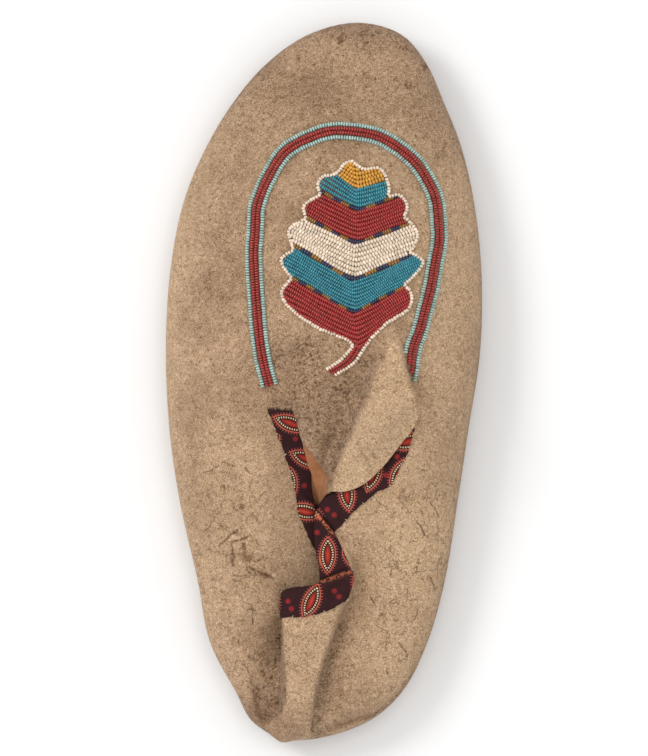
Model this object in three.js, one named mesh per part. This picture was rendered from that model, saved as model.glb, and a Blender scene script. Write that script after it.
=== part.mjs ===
// A soft hide moccasin for the left foot, empty and slack, lying on its sole.
// Millimetres, +Z up, toe towards +Y, outer (lateral) side of the foot towards -X.
// The upper is one thin sheet of hide whose quarters have sunk inwards; the back of the heel has
// folded forwards over the lateral quarter, and the collar edge is bound with printed cotton.

import * as THREE from "three";
import { mergeVertices } from "three/addons/utils/BufferGeometryUtils.js";

// Driving dimensions
const LENGTH = 270; // heel to toe, over the upper
const BALL_WIDTH = 118.6; // across the widest line of the upper
const HIDE = 1.4; // thickness of the upper and the tongue
const SOLE_THICKNESS = 3;
const GAP = 0.3; // between pieces that touch
const SOLE_INSET = 3.5; // how far the upper bulges out past the sole's edge
const SEAM_ALLOWANCE = 5; // the upper's turned-in edge, lying on the sole
const BULGE_HEIGHT = 9; // the widest line, above the top of the sole's edge
const BINDING_CLOTH = 0.5; // thickness of the cotton, on each face of the hide
const BEAD_HEIGHT = 1.4; // how far the beadwork stands off the hide
const BAND_WIDTH = 6.7; // four lanes of beads

// The last in plan: share of the length from heel to toe, and shares of the ball width each side
// of the axis.
const LAST = [
  { along: 0.983, lateral: 0.051, medial: 0.247 },
  { along: 0.942, lateral: 0.184, medial: 0.326 },
  { along: 0.892, lateral: 0.282, medial: 0.377 },
  { along: 0.829, lateral: 0.37, medial: 0.434 },
  { along: 0.752, lateral: 0.443, medial: 0.475 },
  { along: 0.655, lateral: 0.486, medial: 0.499 },
  { along: 0.544, lateral: 0.5, medial: 0.495 },
  { along: 0.432, lateral: 0.488, medial: 0.457 },
  { along: 0.335, lateral: 0.456, medial: 0.424 },
  { along: 0.224, lateral: 0.399, medial: 0.383 },
  { along: 0.14, lateral: 0.361, medial: 0.329 },
  { along: 0.071, lateral: 0.28, medial: 0.25 },
  { along: 0.026, lateral: 0.22, medial: 0.13 },
];
const TOE_TIP = { across: 0.108, along: 1 };
const HEEL_TIP = { across: -0.095, along: 0.003 };

// The sole's edge curls up, widest and highest at the toe, where it makes the toe spring.
const SOLE_CURL = [
  { along: 0, width: 22, rise: 2.5 },
  { along: 0.15, width: 16, rise: 2 },
  { along: 0.8, width: 16, rise: 2 },
  { along: 1, width: 38, rise: 6 },
];
const SPINE = { heel: [-4, -88], toe: [6, 84] }; // the sole's rows run from the edge towards this line

// The upper's sheet, row by row around the shoe from the toe by the lateral side. Each row leaves
// the widest line at start (a Y on that side), rises to its crest at a share of its run, and ends
// on the throat or collar edge at x, y, z; band is the binding's width there, in plan.
const ROWS = [
  { name: "toe", side: "toe", start: 0, x: 9.5, y: -5.2, z: 47, crest: 47, at: 1, band: 10 },
  { name: "lateral toe", side: "lateral", start: 112, x: 6, y: -5.6, z: 47, crest: 47, at: 1, band: 10 },
  { name: "lateral vamp", side: "lateral", start: 80, x: 2, y: -6.4, z: 46.5, crest: 46.5, at: 1, band: 10 },
  { name: "lateral ball", side: "lateral", start: 45, x: -4, y: -7.6, z: 45, crest: 45, at: 1, band: 10 },
  { name: "lateral waist", side: "lateral", start: 18, x: -8.5, y: -8.8, z: 43.5, crest: 43.5, at: 0.95, band: 10 },
  { name: "lateral throat", side: "lateral", start: -1, x: -11.3, y: -10, z: 41, crest: 42, at: 0.85, band: 9.5 },
  { name: "lateral a", side: "lateral", start: -14, x: -8.6, y: -19, z: 35, crest: 39.5, at: 0.76, band: 8.5 },
  { name: "lateral b", side: "lateral", start: -29, x: -5.6, y: -27.6, z: 29.5, crest: 36.5, at: 0.7, band: 7.4 },
  { name: "lateral c", side: "lateral", start: -47, x: -5.3, y: -40.4, z: 26, crest: 34, at: 0.66, band: 6.6 },
  { name: "crossing", side: "lateral", start: -60, x: -3.4, y: -48.6, z: 24.5, crest: 32.5, at: 0.6, band: 7 },
  { name: "under flap a", side: "lateral", start: -74, x: -0.8, y: -58.8, z: 23.2, crest: 30.6, at: 0.48, band: 5.6 },
  { name: "under flap b", side: "lateral", start: -91, x: 1, y: -70, z: 21.6, crest: 28, at: 0.34, band: 5 },
  { name: "under flap c", side: "lateral", start: -111, x: 3, y: -80, z: 19.6, crest: 25.2, at: 0.2, band: 7 },
  { name: "valley low", side: "lateral", start: -119, x: 3.4, y: -83.2, z: 20.4, crest: 24, at: 0.2, band: 9 },
  { name: "valley high", side: "lateral", start: -123.5, x: 0.5, y: -85.2, z: 24.2, crest: 25.2, at: 0.26, band: 10.5 },
  { name: "pleat", side: "lateral", start: -128, x: -8, y: -83.7, z: 25.6, crest: 27.4, at: 0.3, band: 10.5 },
  { name: "fold low", side: "lateral", start: -131.6, x: -16.4, y: -81.2, z: 27.2, crest: 29, at: 0.34, band: 10.5 },
  { name: "fold high", side: "lateral", start: -133.6, x: -16.8, y: -79.3, z: 31.8, crest: 32.6, at: 0.38, band: 10.5 },
  { name: "heel flap a", side: "medial", start: -134, x: -11, y: -78.2, z: 33.3, crest: 33.8, at: 0.4, band: 10.5 },
  { name: "heel flap b", side: "medial", start: -133, x: -5.6, y: -77.7, z: 33.4, crest: 34, at: 0.42, band: 10.5 },
  { name: "heel corner", side: "medial", start: -130.2, x: -1.2, y: -75.6, z: 33, crest: 33.5, at: 0.42, band: 10.3 },
  { name: "medial heel a", side: "medial", start: -124.5, x: -0.9, y: -69.5, z: 32.2, crest: 32.5, at: 0.42, band: 15.6 },
  { name: "medial heel b", side: "medial", start: -115.5, x: -2.6, y: -61.4, z: 31.3, crest: 32, at: 0.42, band: 21 },
  { name: "medial heel c", side: "medial", start: -104, x: -2.8, y: -52.5, z: 30.4, crest: 32, at: 0.42, band: 18 },
  { name: "medial d", side: "medial", start: -90, x: -0.8, y: -46.4, z: 29.6, crest: 32.5, at: 0.46, band: 10.8 },
  { name: "medial c", side: "medial", start: -75, x: 4, y: -41.8, z: 29.8, crest: 33.5, at: 0.5, band: 10.5 },
  { name: "medial b", side: "medial", start: -54, x: 13.5, y: -32.9, z: 32.5, crest: 36, at: 0.6, band: 10.5 },
  { name: "medial a", side: "medial", start: -34, x: 20.7, y: -25.3, z: 36.5, crest: 39, at: 0.7, band: 10.5 },
  { name: "medial throat low", side: "medial", start: -16, x: 23.7, y: -16.3, z: 41, crest: 42, at: 0.8, band: 10.5 },
  { name: "medial throat", side: "medial", start: 0, x: 25.9, y: -8.8, z: 44.5, crest: 44.5, at: 0.95, band: 10.5 },
  { name: "medial waist", side: "medial", start: 19, x: 22.5, y: -7, z: 45.5, crest: 45.5, at: 1, band: 10 },
  { name: "medial ball", side: "medial", start: 47, x: 19, y: -6.2, z: 46.5, crest: 46.5, at: 1, band: 10 },
  { name: "medial vamp", side: "medial", start: 80, x: 15.8, y: -5.7, z: 47, crest: 47, at: 1, band: 10 },
  { name: "medial toe", side: "medial", start: 112, x: 12.8, y: -5.4, z: 47, crest: 47, at: 1, band: 10 },
];
const COLUMNS_PER_ROW = 4;
const WALL_STEPS = [0, 0.45, 0.75, 1]; // from the turned-in edge's corner to the widest line
const TOP_STEPS = [0.05, 0.14, 0.28, 0.48, 0.74, 1]; // on to the binding's inner edge
const SHOULDER_POWER = 1.6; // 2 is an ellipse; less is a straighter slope

// The tongue hangs from the throat. Each row runs from a share of the throat line to its free edge.
const TONGUE = [
  { throat: 0.03, x: -5.4, y: -19.5, z: 33.5, sag: 3 },
  { throat: 0.18, x: -2.2, y: -28.5, z: 31, sag: 4 },
  { throat: 0.36, x: 2.6, y: -39.2, z: 32.4, sag: 4 },
  { throat: 0.52, x: 10, y: -40.4, z: 35, sag: 1 },
  { throat: 0.66, x: 17.5, y: -38.6, z: 37.4, sag: -2 },
  { throat: 0.78, x: 26, y: -32.5, z: 40.6, sag: -3 },
  { throat: 0.83, x: 32.3, y: -23.5, z: 43.6, sag: -3 },
  { throat: 0.87, x: 35.4, y: -14, z: 46.8, sag: -2.4 },
];
const ROOT_CLEARANCE = 0.9; // in plan, between the throat edge and the tongue's root
const TONGUE_STEPS = 7;
const TONGUE_COLUMNS_PER_ROW = 2;

// Centre line of the beaded band, from the lateral end round the toe to the medial end.
const BAND = [
  { x: -20.3, y: -1.7 },
  { x: -24, y: 15.6 },
  { x: -25.9, y: 43.7 },
  { x: -24.4, y: 67 },
  { x: -17.6, y: 82 },
  { x: -4, y: 91.8 },
  { x: 8.6, y: 93.7 },
  { x: 22, y: 90.7 },
  { x: 34.5, y: 81.1 },
  { x: 42.1, y: 65.3 },
  { x: 42.1, y: 47.5 },
  { x: 37.9, y: 27.2 },
  { x: 33.2, y: 11.8 },
  { x: 31.4, y: 0.5 },
];
const BAND_STEPS = 38;
const BAND_ACROSS = [-0.5, -0.17, 0.17, 0.5];

// The beaded leaf, section by section from the tip down to the foot of its stem.
const LEAF = [
  { y: 81.5, left: 7.6, right: 12.6 },
  { y: 77, left: 2.5, right: 22.5 },
  { y: 70.5, left: -1.5, right: 25 },
  { y: 63.5, left: -5.5, right: 30.5 },
  { y: 57, left: -12.5, right: 34 },
  { y: 50, left: -12, right: 32.5 },
  { y: 44, left: -15, right: 36 },
  { y: 37, left: -13, right: 31 },
  { y: 31.5, left: -15, right: 32 },
  { y: 25.5, left: -10.5, right: 28 },
  { y: 20, left: -1.5, right: 21 },
  { y: 15, left: 8.3, right: 16.5 },
  { y: 10.5, left: 7.6, right: 13.5 },
  { y: 6, left: 3.4, right: 9 },
];
const LEAF_ACROSS = [0, 0.2, 0.4, 0.6, 0.8, 1];

// Finishes
const hide = new THREE.MeshStandardMaterial({ color: 0xb39a7a, roughness: 0.95, metalness: 0 });
const soleHide = new THREE.MeshStandardMaterial({ color: 0x9c8160, roughness: 0.9, metalness: 0 });
const cotton = new THREE.MeshStandardMaterial({ color: 0x4a2326, roughness: 0.9, metalness: 0 });
const beads = new THREE.MeshStandardMaterial({ color: 0xa83232, roughness: 0.3, metalness: 0 });

// Uniform Catmull-Rom through four values.
function smooth(a, b, c, d, t) {
  const linear = (c - a) * t;
  const square = (2 * a - 5 * b + 4 * c - d) * t * t;
  const cube = (3 * b - a - 3 * c + d) * t * t * t;
  return b + 0.5 * (linear + square + cube);
}

// One column of a table at position t, counted in rows; a closed table runs round to its first row.
function column(table, key, t, closed) {
  const last = table.length - 1;
  const row = Math.min(Math.floor(t), closed ? last : last - 1);
  const pick = (i) =>
    closed
      ? table[(i + table.length) % table.length][key]
      : table[THREE.MathUtils.clamp(i, 0, last)][key];
  return smooth(pick(row - 1), pick(row), pick(row + 1), pick(row + 2), t - row);
}

// A straight-line reading of a table whose rows rise along one key.
function reading(table, key, value, by) {
  const next = table.findIndex((row, i) => i > 0 && row[by] >= value);
  const high = next < 0 ? table.length - 1 : next;
  const [a, b] = [table[high - 1], table[high]];
  const t = THREE.MathUtils.clamp((value - a[by]) / (b[by] - a[by]), 0, 1);
  return a[key] + (b[key] - a[key]) * t;
}

// The widest line of the upper, as a closed curve from the toe by the lateral side to the heel and back.
const placed = (across, along) => new THREE.Vector3(across * BALL_WIDTH, (along - 0.5) * LENGTH, 0);
const outline = new THREE.CatmullRomCurve3(
  [
    placed(TOE_TIP.across, TOE_TIP.along),
    ...LAST.map((row) => placed(-row.lateral, row.along)),
    placed(HEEL_TIP.across, HEEL_TIP.along),
    ...LAST.toReversed().map((row) => placed(row.medial, row.along)),
  ],
  true,
  "centripetal",
);
outline.arcLengthDivisions = 2000;
const HEEL_SHARE = heelShare();

// Share of the outline's length at which it reaches furthest back.
function heelShare() {
  let best = 0;
  for (let u = 0; u < 1; u += 0.001) {
    if (outline.getPointAt(u).y < outline.getPointAt(best).y) best = u;
  }
  return best;
}

// Share of the outline's length at a given Y on one side of the shoe.
function shareAt(side, y) {
  if (side === "toe") return 0;
  let [front, back] = side === "lateral" ? [0, HEEL_SHARE] : [1, HEEL_SHARE];
  for (let step = 0; step < 40; step++) {
    const middle = (front + back) / 2;
    if (outline.getPointAt(middle).y > y) front = middle;
    else back = middle;
  }
  return (front + back) / 2;
}

const edgePoint = (share) => outline.getPointAt(((share % 1) + 1) % 1);

// Unit direction in plan from a point of the outline towards the sole's spine.
function inward(point) {
  const y = THREE.MathUtils.clamp(point.y, SPINE.heel[1], SPINE.toe[1]);
  const t = (y - SPINE.heel[1]) / (SPINE.toe[1] - SPINE.heel[1]);
  const anchor = new THREE.Vector3(THREE.MathUtils.lerp(SPINE.heel[0], SPINE.toe[0], t), y, 0);
  return anchor.sub(point).normalize();
}

// How high the sole's underside is lifted at a distance inside its own edge.
function soleCurl(point) {
  const along = point.y / LENGTH + 0.5;
  return {
    width: reading(SOLE_CURL, "width", along, "along"),
    rise: reading(SOLE_CURL, "rise", along, "along"),
  };
}

function soleLift(point, inside) {
  const { width, rise } = soleCurl(point);
  const t = Math.max(0, 1 - inside / width);
  return rise * t * t;
}

// A closed mesh from a grid of points: rings of equal length, each closed on itself, joined in a loop
// (a ring-shaped solid) or capped at both ends.
function solidFromRings(rings, capped) {
  const size = rings[0].length;
  const index = [];
  const at = (ring, i) => (ring % rings.length) * size + (i % size);
  const spans = capped ? rings.length - 1 : rings.length;
  for (let r = 0; r < spans; r++) {
    for (let i = 0; i < size; i++) {
      index.push(at(r, i), at(r + 1, i), at(r + 1, i + 1), at(r, i), at(r + 1, i + 1), at(r, i + 1));
    }
  }
  if (capped) {
    for (const [ring, turned] of [[0, false], [rings.length - 1, true]]) {
      for (const face of capFaces(rings[ring])) {
        const [a, b, c] = turned ? face.toReversed() : face;
        index.push(at(ring, a), at(ring, b), at(ring, c));
      }
    }
  }
  const geometry = new THREE.BufferGeometry().setFromPoints(rings.flat());
  geometry.setIndex(index);
  return facingOut(geometry);
}

// Triangles of a thin ring made of two equal runs, one out and one back.
function capFaces(ring) {
  const faces = [];
  const last = ring.length - 1;
  for (let i = 0; i < ring.length / 2 - 1; i++) {
    faces.push([i, i + 1, last - i], [i + 1, last - i - 1, last - i]);
  }
  return faces;
}

// Turns a closed mesh round if its faces point inwards, and merges its shared corners.
function facingOut(geometry) {
  const merged = mergeVertices(geometry, 1e-4);
  const corner = (i) => new THREE.Vector3().fromBufferAttribute(merged.attributes.position, merged.index.array[i]);
  let volume = 0;
  for (let i = 0; i < merged.index.count; i += 3) {
    volume += corner(i).dot(corner(i + 1).cross(corner(i + 2)));
  }
  if (volume < 0) merged.setIndex([...merged.index.array].reverse());
  merged.computeVertexNormals();
  return merged;
}

// The upper's outer face: one run of points for each column, from the turned-in edge to the collar.
const COLUMNS = ROWS.length * COLUMNS_PER_ROW;
for (const row of ROWS) row.share = shareAt(row.side, row.start);

function rowShare(t) {
  const row = Math.floor(t);
  const from = ROWS[row].share;
  const to = row + 1 < ROWS.length ? ROWS[row + 1].share : 1;
  return from + (to - from) * (t - row);
}

function columnRun(t) {
  const edge = edgePoint(rowShare(t));
  const inside = inward(edge);
  const collar = new THREE.Vector3(...["x", "y", "z"].map((key) => column(ROWS, key, t, true)));
  const crest = column(ROWS, "crest", t, true);
  const crestAt = Math.min(1, column(ROWS, "at", t, true));
  const run = [];
  const onSole = (inset) => {
    const point = edge.clone().addScaledVector(inside, inset);
    point.z = soleLift(edge, inset - SOLE_INSET) + SOLE_THICKNESS + GAP;
    return point;
  };
  run.push(onSole(SOLE_INSET + SEAM_ALLOWANCE));
  const low = onSole(SOLE_INSET).z;
  const widest = low + BULGE_HEIGHT;
  for (const step of WALL_STEPS) {
    const angle = (step * Math.PI) / 2;
    const point = edge.clone().addScaledVector(inside, SOLE_INSET * (1 - Math.sin(angle)));
    point.z = low + BULGE_HEIGHT * (1 - Math.cos(angle));
    run.push(point);
  }
  const plan = Math.hypot(collar.x - edge.x, collar.y - edge.y);
  const bound = 1 - column(ROWS, "band", t, true) / plan;
  for (const s of [...TOP_STEPS.map((step) => step * bound), (bound + 1) / 2, 1]) {
    const point = edge.clone().lerp(collar, s);
    point.z = topHeight(s, widest, crest, crestAt, collar.z);
    run.push(point);
  }
  return run;
}

// Height along a row: a rounded shoulder up to the crest, then a soft fall to the collar edge.
function topHeight(s, widest, crest, crestAt, collarHeight) {
  if (s <= crestAt) {
    const rise = 1 - Math.pow(1 - s / crestAt, SHOULDER_POWER);
    return widest + (crest - widest) * Math.sqrt(rise);
  }
  const t = (s - crestAt) / (1 - crestAt);
  return crest + (collarHeight - crest) * t * t * (2 - t);
}

const outer = Array.from({ length: COLUMNS }, (_, i) => columnRun(i / COLUMNS_PER_ROW));
const RUN = outer[0].length;
const normals = outer.map((run, i) =>
  run.map((_, j) => {
    const around = outer[(i + 1) % COLUMNS][j].clone().sub(outer[(i + COLUMNS - 1) % COLUMNS][j]);
    const along = run[Math.min(j + 1, RUN - 1)].clone().sub(run[Math.max(j - 1, 0)]);
    return around.cross(along).normalize();
  }),
);

// A point of the upper's sheet moved out along its normal (or in, where the offset is negative).
const offPoint = (i, j, offset) => outer[i][j].clone().addScaledVector(normals[i][j], offset);

function upperGeometry() {
  const rings = outer.map((run, i) => [
    ...run,
    ...run.map((_, j) => offPoint(i, j, -HIDE)).toReversed(),
  ]);
  return solidFromRings(rings, false);
}

// The cotton, folded over the collar edge from the lateral throat round the heel to the medial throat.
function bindingGeometry() {
  const rowNamed = (name) => ROWS.findIndex((row) => row.name === name) * COLUMNS_PER_ROW;
  const first = rowNamed("lateral throat");
  const last = rowNamed("medial throat");
  const edges = [RUN - 3, RUN - 2, RUN - 1];
  const rings = [];
  for (let i = first; i <= last; i++) {
    const past = outer[i][RUN - 1].clone().sub(outer[i][RUN - 2]).normalize();
    const layer = (offset, beyond) =>
      edges.map((j) => offPoint(i, j, offset).addScaledVector(past, j === RUN - 1 ? beyond : 0));
    const wrap = (gap) => [...layer(gap, gap), ...layer(-HIDE - gap, gap).toReversed()];
    rings.push([...wrap(GAP), ...wrap(GAP + BINDING_CLOTH).toReversed()]);
  }
  return solidFromRings(rings, true);
}

// The sole: rows from its edge towards the spine, curled up at the rim and flat inside it.
function soleGeometry() {
  const count = 64;
  const shares = [0, 0.15, 0.45, 1];
  const loops = { under: shares.map(() => []), over: shares.map(() => []) };
  for (let i = 0; i < count; i++) {
    const edge = edgePoint(i / count);
    const inside = inward(edge);
    shares.forEach((share, k) => {
      const distance = share * soleCurl(edge).width;
      const point = edge.clone().addScaledVector(inside, SOLE_INSET + distance);
      point.z = soleLift(edge, distance);
      loops.under[k].push(point);
      loops.over[k].push(point.clone().setZ(point.z + SOLE_THICKNESS));
    });
  }
  const layers = [...loops.under.toReversed(), ...loops.over];
  const points = layers.flat();
  const index = [];
  for (let k = 0; k < layers.length - 1; k++) {
    for (let i = 0; i < count; i++) {
      const next = (i + 1) % count;
      const [a, b] = [k * count + i, k * count + next];
      const [c, d] = [a + count, b + count];
      index.push(a, b, d, a, d, c);
    }
  }
  const flat = layers[0].map((point) => new THREE.Vector2(point.x, point.y));
  const top = (layers.length - 1) * count;
  for (const [a, b, c] of THREE.ShapeUtils.triangulateShape(flat, [])) {
    index.push(c, b, a, top + a, top + b, top + c);
  }
  const geometry = new THREE.BufferGeometry().setFromPoints(points);
  geometry.setIndex(index);
  return facingOut(geometry);
}

// A thin solid from a grid of points on its upper face and the same grid moved down along its normals.
function sheetGeometry(rows, thickness) {
  const size = rows[0].length;
  const rings = rows.map((row, r) => {
    const before = rows[Math.max(r - 1, 0)];
    const after = rows[Math.min(r + 1, rows.length - 1)];
    const below = row.map((point, i) => {
      const across = row[Math.min(i + 1, size - 1)].clone().sub(row[Math.max(i - 1, 0)]);
      const normal = after[i].clone().sub(before[i]).cross(across).normalize();
      return point.clone().addScaledVector(normal, normal.z > 0 ? -thickness : thickness);
    });
    return [...row, ...below.toReversed()];
  });
  return solidFromRings(rings, true);
}

// The throat edge from its lateral corner to its medial corner, as points of the upper's outer face.
function throatLine() {
  const medial = ROWS.findIndex((row) => row.name === "medial throat") * COLUMNS_PER_ROW;
  const lateral = ROWS.findIndex((row) => row.name === "lateral throat") * COLUMNS_PER_ROW;
  const columns = [];
  for (let i = lateral; i >= 0; i--) columns.push(i);
  for (let i = COLUMNS - 1; i >= medial; i--) columns.push(i);
  return new THREE.CatmullRomCurve3(columns.map((i) => outer[i][RUN - 1]), false, "centripetal");
}

function tongueGeometry() {
  const throat = throatLine();
  const rows = [];
  for (let i = 0; i <= (TONGUE.length - 1) * TONGUE_COLUMNS_PER_ROW; i++) {
    const t = i / TONGUE_COLUMNS_PER_ROW;
    const value = (key) => column(TONGUE, key, t, false);
    const free = new THREE.Vector3(value("x"), value("y"), value("z"));
    const root = throat.getPointAt(value("throat"));
    const away = free.clone().sub(root).setZ(0).normalize();
    root.addScaledVector(away, ROOT_CLEARANCE);
    rows.push(
      Array.from({ length: TONGUE_STEPS + 1 }, (_, k) => {
        const s = k / TONGUE_STEPS;
        const point = root.clone().lerp(free, s);
        point.z -= value("sag") * Math.sin(Math.PI * s) ** 2;
        return point;
      }),
    );
  }
  return sheetGeometry(rows, HIDE);
}

// Height and normal of the vamp under a point in plan, from the facets of the upper's outer face.
function vampAt(x, y) {
  let best = null;
  const plan = new THREE.Vector3(x, y, 0);
  for (let i = 0; i < COLUMNS; i++) {
    const next = (i + 1) % COLUMNS;
    for (let j = WALL_STEPS.length; j < RUN - 1; j++) {
      const quad = [outer[i][j], outer[i][j + 1], outer[next][j + 1], outer[next][j]];
      for (const [a, b, c] of [[0, 1, 2], [0, 2, 3]]) {
        const flat = new THREE.Triangle(...[a, b, c].map((k) => quad[k].clone().setZ(0)));
        const share = flat.getBarycoord(plan, new THREE.Vector3());
        if (!share || Math.min(share.x, share.y, share.z) < -1e-6) continue;
        const facet = new THREE.Triangle(quad[a], quad[b], quad[c]);
        const z = quad[a].z * share.x + quad[b].z * share.y + quad[c].z * share.z;
        const normal = facet.getNormal(new THREE.Vector3());
        if (normal.z < 0) normal.negate();
        if (!best || z > best.point.z) best = { point: new THREE.Vector3(x, y, z), normal };
      }
    }
  }
  return best;
}

// Beadwork as a plain solid on the vamp: a grid of plan points lifted clear of the hide.
function beadworkGeometry(grid) {
  const lifted = grid.map((row) =>
    row.map(({ x, y }) => {
      const { point, normal } = vampAt(x, y);
      return point.addScaledVector(normal, 2 * GAP + BEAD_HEIGHT);
    }),
  );
  return sheetGeometry(lifted, BEAD_HEIGHT);
}

function bandGrid() {
  const line = new THREE.CatmullRomCurve3(
    BAND.map(({ x, y }) => new THREE.Vector3(x, y, 0)),
    false,
    "centripetal",
  );
  return Array.from({ length: BAND_STEPS + 1 }, (_, i) => {
    const centre = line.getPointAt(i / BAND_STEPS);
    const tangent = line.getTangentAt(i / BAND_STEPS);
    const side = new THREE.Vector3(tangent.y, -tangent.x, 0);
    return BAND_ACROSS.map((share) => centre.clone().addScaledVector(side, share * BAND_WIDTH));
  });
}

function leafGrid() {
  return LEAF.map(({ y, left, right }) =>
    LEAF_ACROSS.map((share) => new THREE.Vector3(THREE.MathUtils.lerp(left, right, share), y, 0)),
  );
}

// The assembly, centred in plan and standing on the sole's flat tread
const pieces = {
  sole: [soleGeometry(), soleHide],
  upper: [upperGeometry(), hide],
  tongue: [tongueGeometry(), hide],
  collar_binding: [bindingGeometry(), cotton],
  bead_band: [beadworkGeometry(bandGrid()), beads],
  bead_leaf: [beadworkGeometry(leafGrid()), beads],
};
const moccasin = new THREE.Group();
for (const [name, [geometry, material]] of Object.entries(pieces)) {
  const mesh = new THREE.Mesh(geometry, material);
  mesh.name = name;
  moccasin.add(mesh);
}
const middle = new THREE.Box3().setFromObject(moccasin, true).getCenter(new THREE.Vector3());
for (const mesh of moccasin.children) mesh.position.set(-middle.x, -middle.y, 0);

export default moccasin;
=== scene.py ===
# %% [markdown]
# # A beaded moccasin
# This lesson dresses a soft hide shoe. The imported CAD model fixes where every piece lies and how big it
# is. Here each piece is made again with the folds, print, beads and wear of the real shoe.

# %% The frame
import math

import bmesh
import bpy
import numpy as np
from mathutils import Matrix, Vector
from mathutils.bvhtree import BVHTree


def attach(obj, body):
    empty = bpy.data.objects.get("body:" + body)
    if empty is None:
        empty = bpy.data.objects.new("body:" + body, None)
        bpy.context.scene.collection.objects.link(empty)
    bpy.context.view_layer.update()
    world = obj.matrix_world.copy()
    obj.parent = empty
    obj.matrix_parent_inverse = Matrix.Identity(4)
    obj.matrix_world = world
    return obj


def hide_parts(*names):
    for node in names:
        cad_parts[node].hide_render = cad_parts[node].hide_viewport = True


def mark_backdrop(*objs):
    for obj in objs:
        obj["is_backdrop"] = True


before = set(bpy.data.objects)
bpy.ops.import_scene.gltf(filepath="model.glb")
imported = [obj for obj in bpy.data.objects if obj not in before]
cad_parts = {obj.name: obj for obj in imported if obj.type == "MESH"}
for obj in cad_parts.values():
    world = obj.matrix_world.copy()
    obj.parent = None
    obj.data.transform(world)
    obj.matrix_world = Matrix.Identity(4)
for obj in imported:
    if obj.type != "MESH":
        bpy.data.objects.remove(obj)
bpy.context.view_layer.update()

MM = 0.001
print("nodes:", sorted(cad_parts))

# %% [markdown]
# ## Camera, floor and light
# The photograph looks straight down with the toe at the top of the picture. A long lens from far above
# keeps the sides of the shoe from leaning outwards, as they would under a short lens close by.

# %% Camera
PICTURE_PIXELS = 756  # the picture's height, which is its long side
MM_PER_PIXEL = 0.3755  # at the shoe's widest line
WIDEST_LINE_MM = 13
CAMERA_RANGE = 6
TOEWARD = 1.3 * MM  # the picture's middle lies this far in front of the shoe's

lens_camera = bpy.data.cameras.new("overhead_camera")
camera = bpy.data.objects.new("overhead_camera", lens_camera)
bpy.context.scene.collection.objects.link(camera)
lens_camera.lens = lens_camera.sensor_width * CAMERA_RANGE / (PICTURE_PIXELS * MM_PER_PIXEL * MM)
lens_camera.clip_end = 20
camera.location = (0, TOEWARD, CAMERA_RANGE + WIDEST_LINE_MM * MM)
bpy.context.scene.camera = camera
print(f"lens {lens_camera.lens:.0f} mm")

# %% [markdown]
# The floor is a plain pale sheet. One wide soft lamp stands to the upper left, so that slopes which
# face right fall into shade, and a bright world fills the shadows, as a light tent does.

# %% Floor, lamps and world
FLOOR_HALF_WIDTH, TENT_STRENGTH = 4, 0.8


def shown(name, bm):
    """Turns a bmesh into an object of the scene, at the origin."""
    mesh = bpy.data.meshes.new(name)
    bm.to_mesh(mesh)
    bm.free()
    piece = bpy.data.objects.new(name, mesh)
    bpy.context.scene.collection.objects.link(piece)
    return piece


def pale_floor():
    bm = bmesh.new()
    bmesh.ops.create_grid(bm, x_segments=1, y_segments=1, size=FLOOR_HALF_WIDTH)
    floor = shown("floor", bm)
    paper = bpy.data.materials.new("floor_paper")
    paper.use_nodes = True
    shader = paper.node_tree.nodes["Principled BSDF"]
    shader.inputs["Base Color"].default_value = (0.9, 0.9, 0.9, 1)
    shader.inputs["Roughness"].default_value = 0.9
    floor.data.materials.append(paper)
    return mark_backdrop(floor)


def soft_lamp(name, place, size, power):
    lamp_data = bpy.data.lights.new(name, "AREA")
    lamp_data.shape = "DISK"
    lamp_data.size = size
    lamp_data.energy = power
    lamp = bpy.data.objects.new(name, lamp_data)
    lamp.location = place
    lamp.rotation_euler = (-Vector(place)).to_track_quat("-Z", "Y").to_euler()
    bpy.context.scene.collection.objects.link(lamp)


pale_floor()
soft_lamp("side_lamp", (-1.3, 0.8, 1.7), 0.8, 17)
soft_lamp("top_lamp", (0.3, 0.2, 2.4), 1.4, 10)
tent = bpy.data.worlds.new("light_tent")
tent.use_nodes = True
sky = tent.node_tree.nodes["Background"]
sky.inputs["Color"].default_value = (1, 1, 1, 1)
sky.inputs["Strength"].default_value = TENT_STRENGTH
bpy.context.scene.world = tent
bpy.context.scene.view_settings.view_transform = "Standard"
print("world strength", TENT_STRENGTH)

# %% [markdown]
# ## The shape of the shoe
# A moccasin's upper is one sheet of hide. It can be described by its widest line, seen from above, and by
# rows that run from that line up over the shoulder to the throat or the collar. The sizes below are those
# of the CAD model, so every piece lands where its solid is. Only a few rows at the heel start a little
# elsewhere, to follow the photograph's corner more closely.

# %% Named sizes, in millimetres
LENGTH, BALL_WIDTH = 270, 118.6
HIDE = 1.4
SOLE_THICKNESS, SEAM_GAP = 3, 0.3
SOLE_INSET, SEAM_ALLOWANCE, BULGE_HEIGHT = 3.5, 5, 9
SHOULDER_POWER = 1.6

# Share of the length from heel to toe, then shares of the ball width on the lateral and medial side.
LAST = [
    (0.983, 0.051, 0.247),
    (0.942, 0.184, 0.326),
    (0.892, 0.282, 0.377),
    (0.829, 0.37, 0.434),
    (0.752, 0.443, 0.475),
    (0.655, 0.486, 0.499),
    (0.544, 0.5, 0.495),
    (0.432, 0.488, 0.457),
    (0.335, 0.456, 0.424),
    (0.224, 0.399, 0.383),
    (0.14, 0.361, 0.329),
    (0.071, 0.28, 0.25),
    (0.026, 0.22, 0.13),
]
TOE_TIP, HEEL_TIP = (0.108, 1), (-0.095, 0.003)
print(len(LAST), "sections of the last")

# %% [markdown]
# The widest line is bent smoothly through these points, once round the shoe from the toe by the lateral side
# to the heel and back by the medial side. Shares of its length then say where a row starts.

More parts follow.
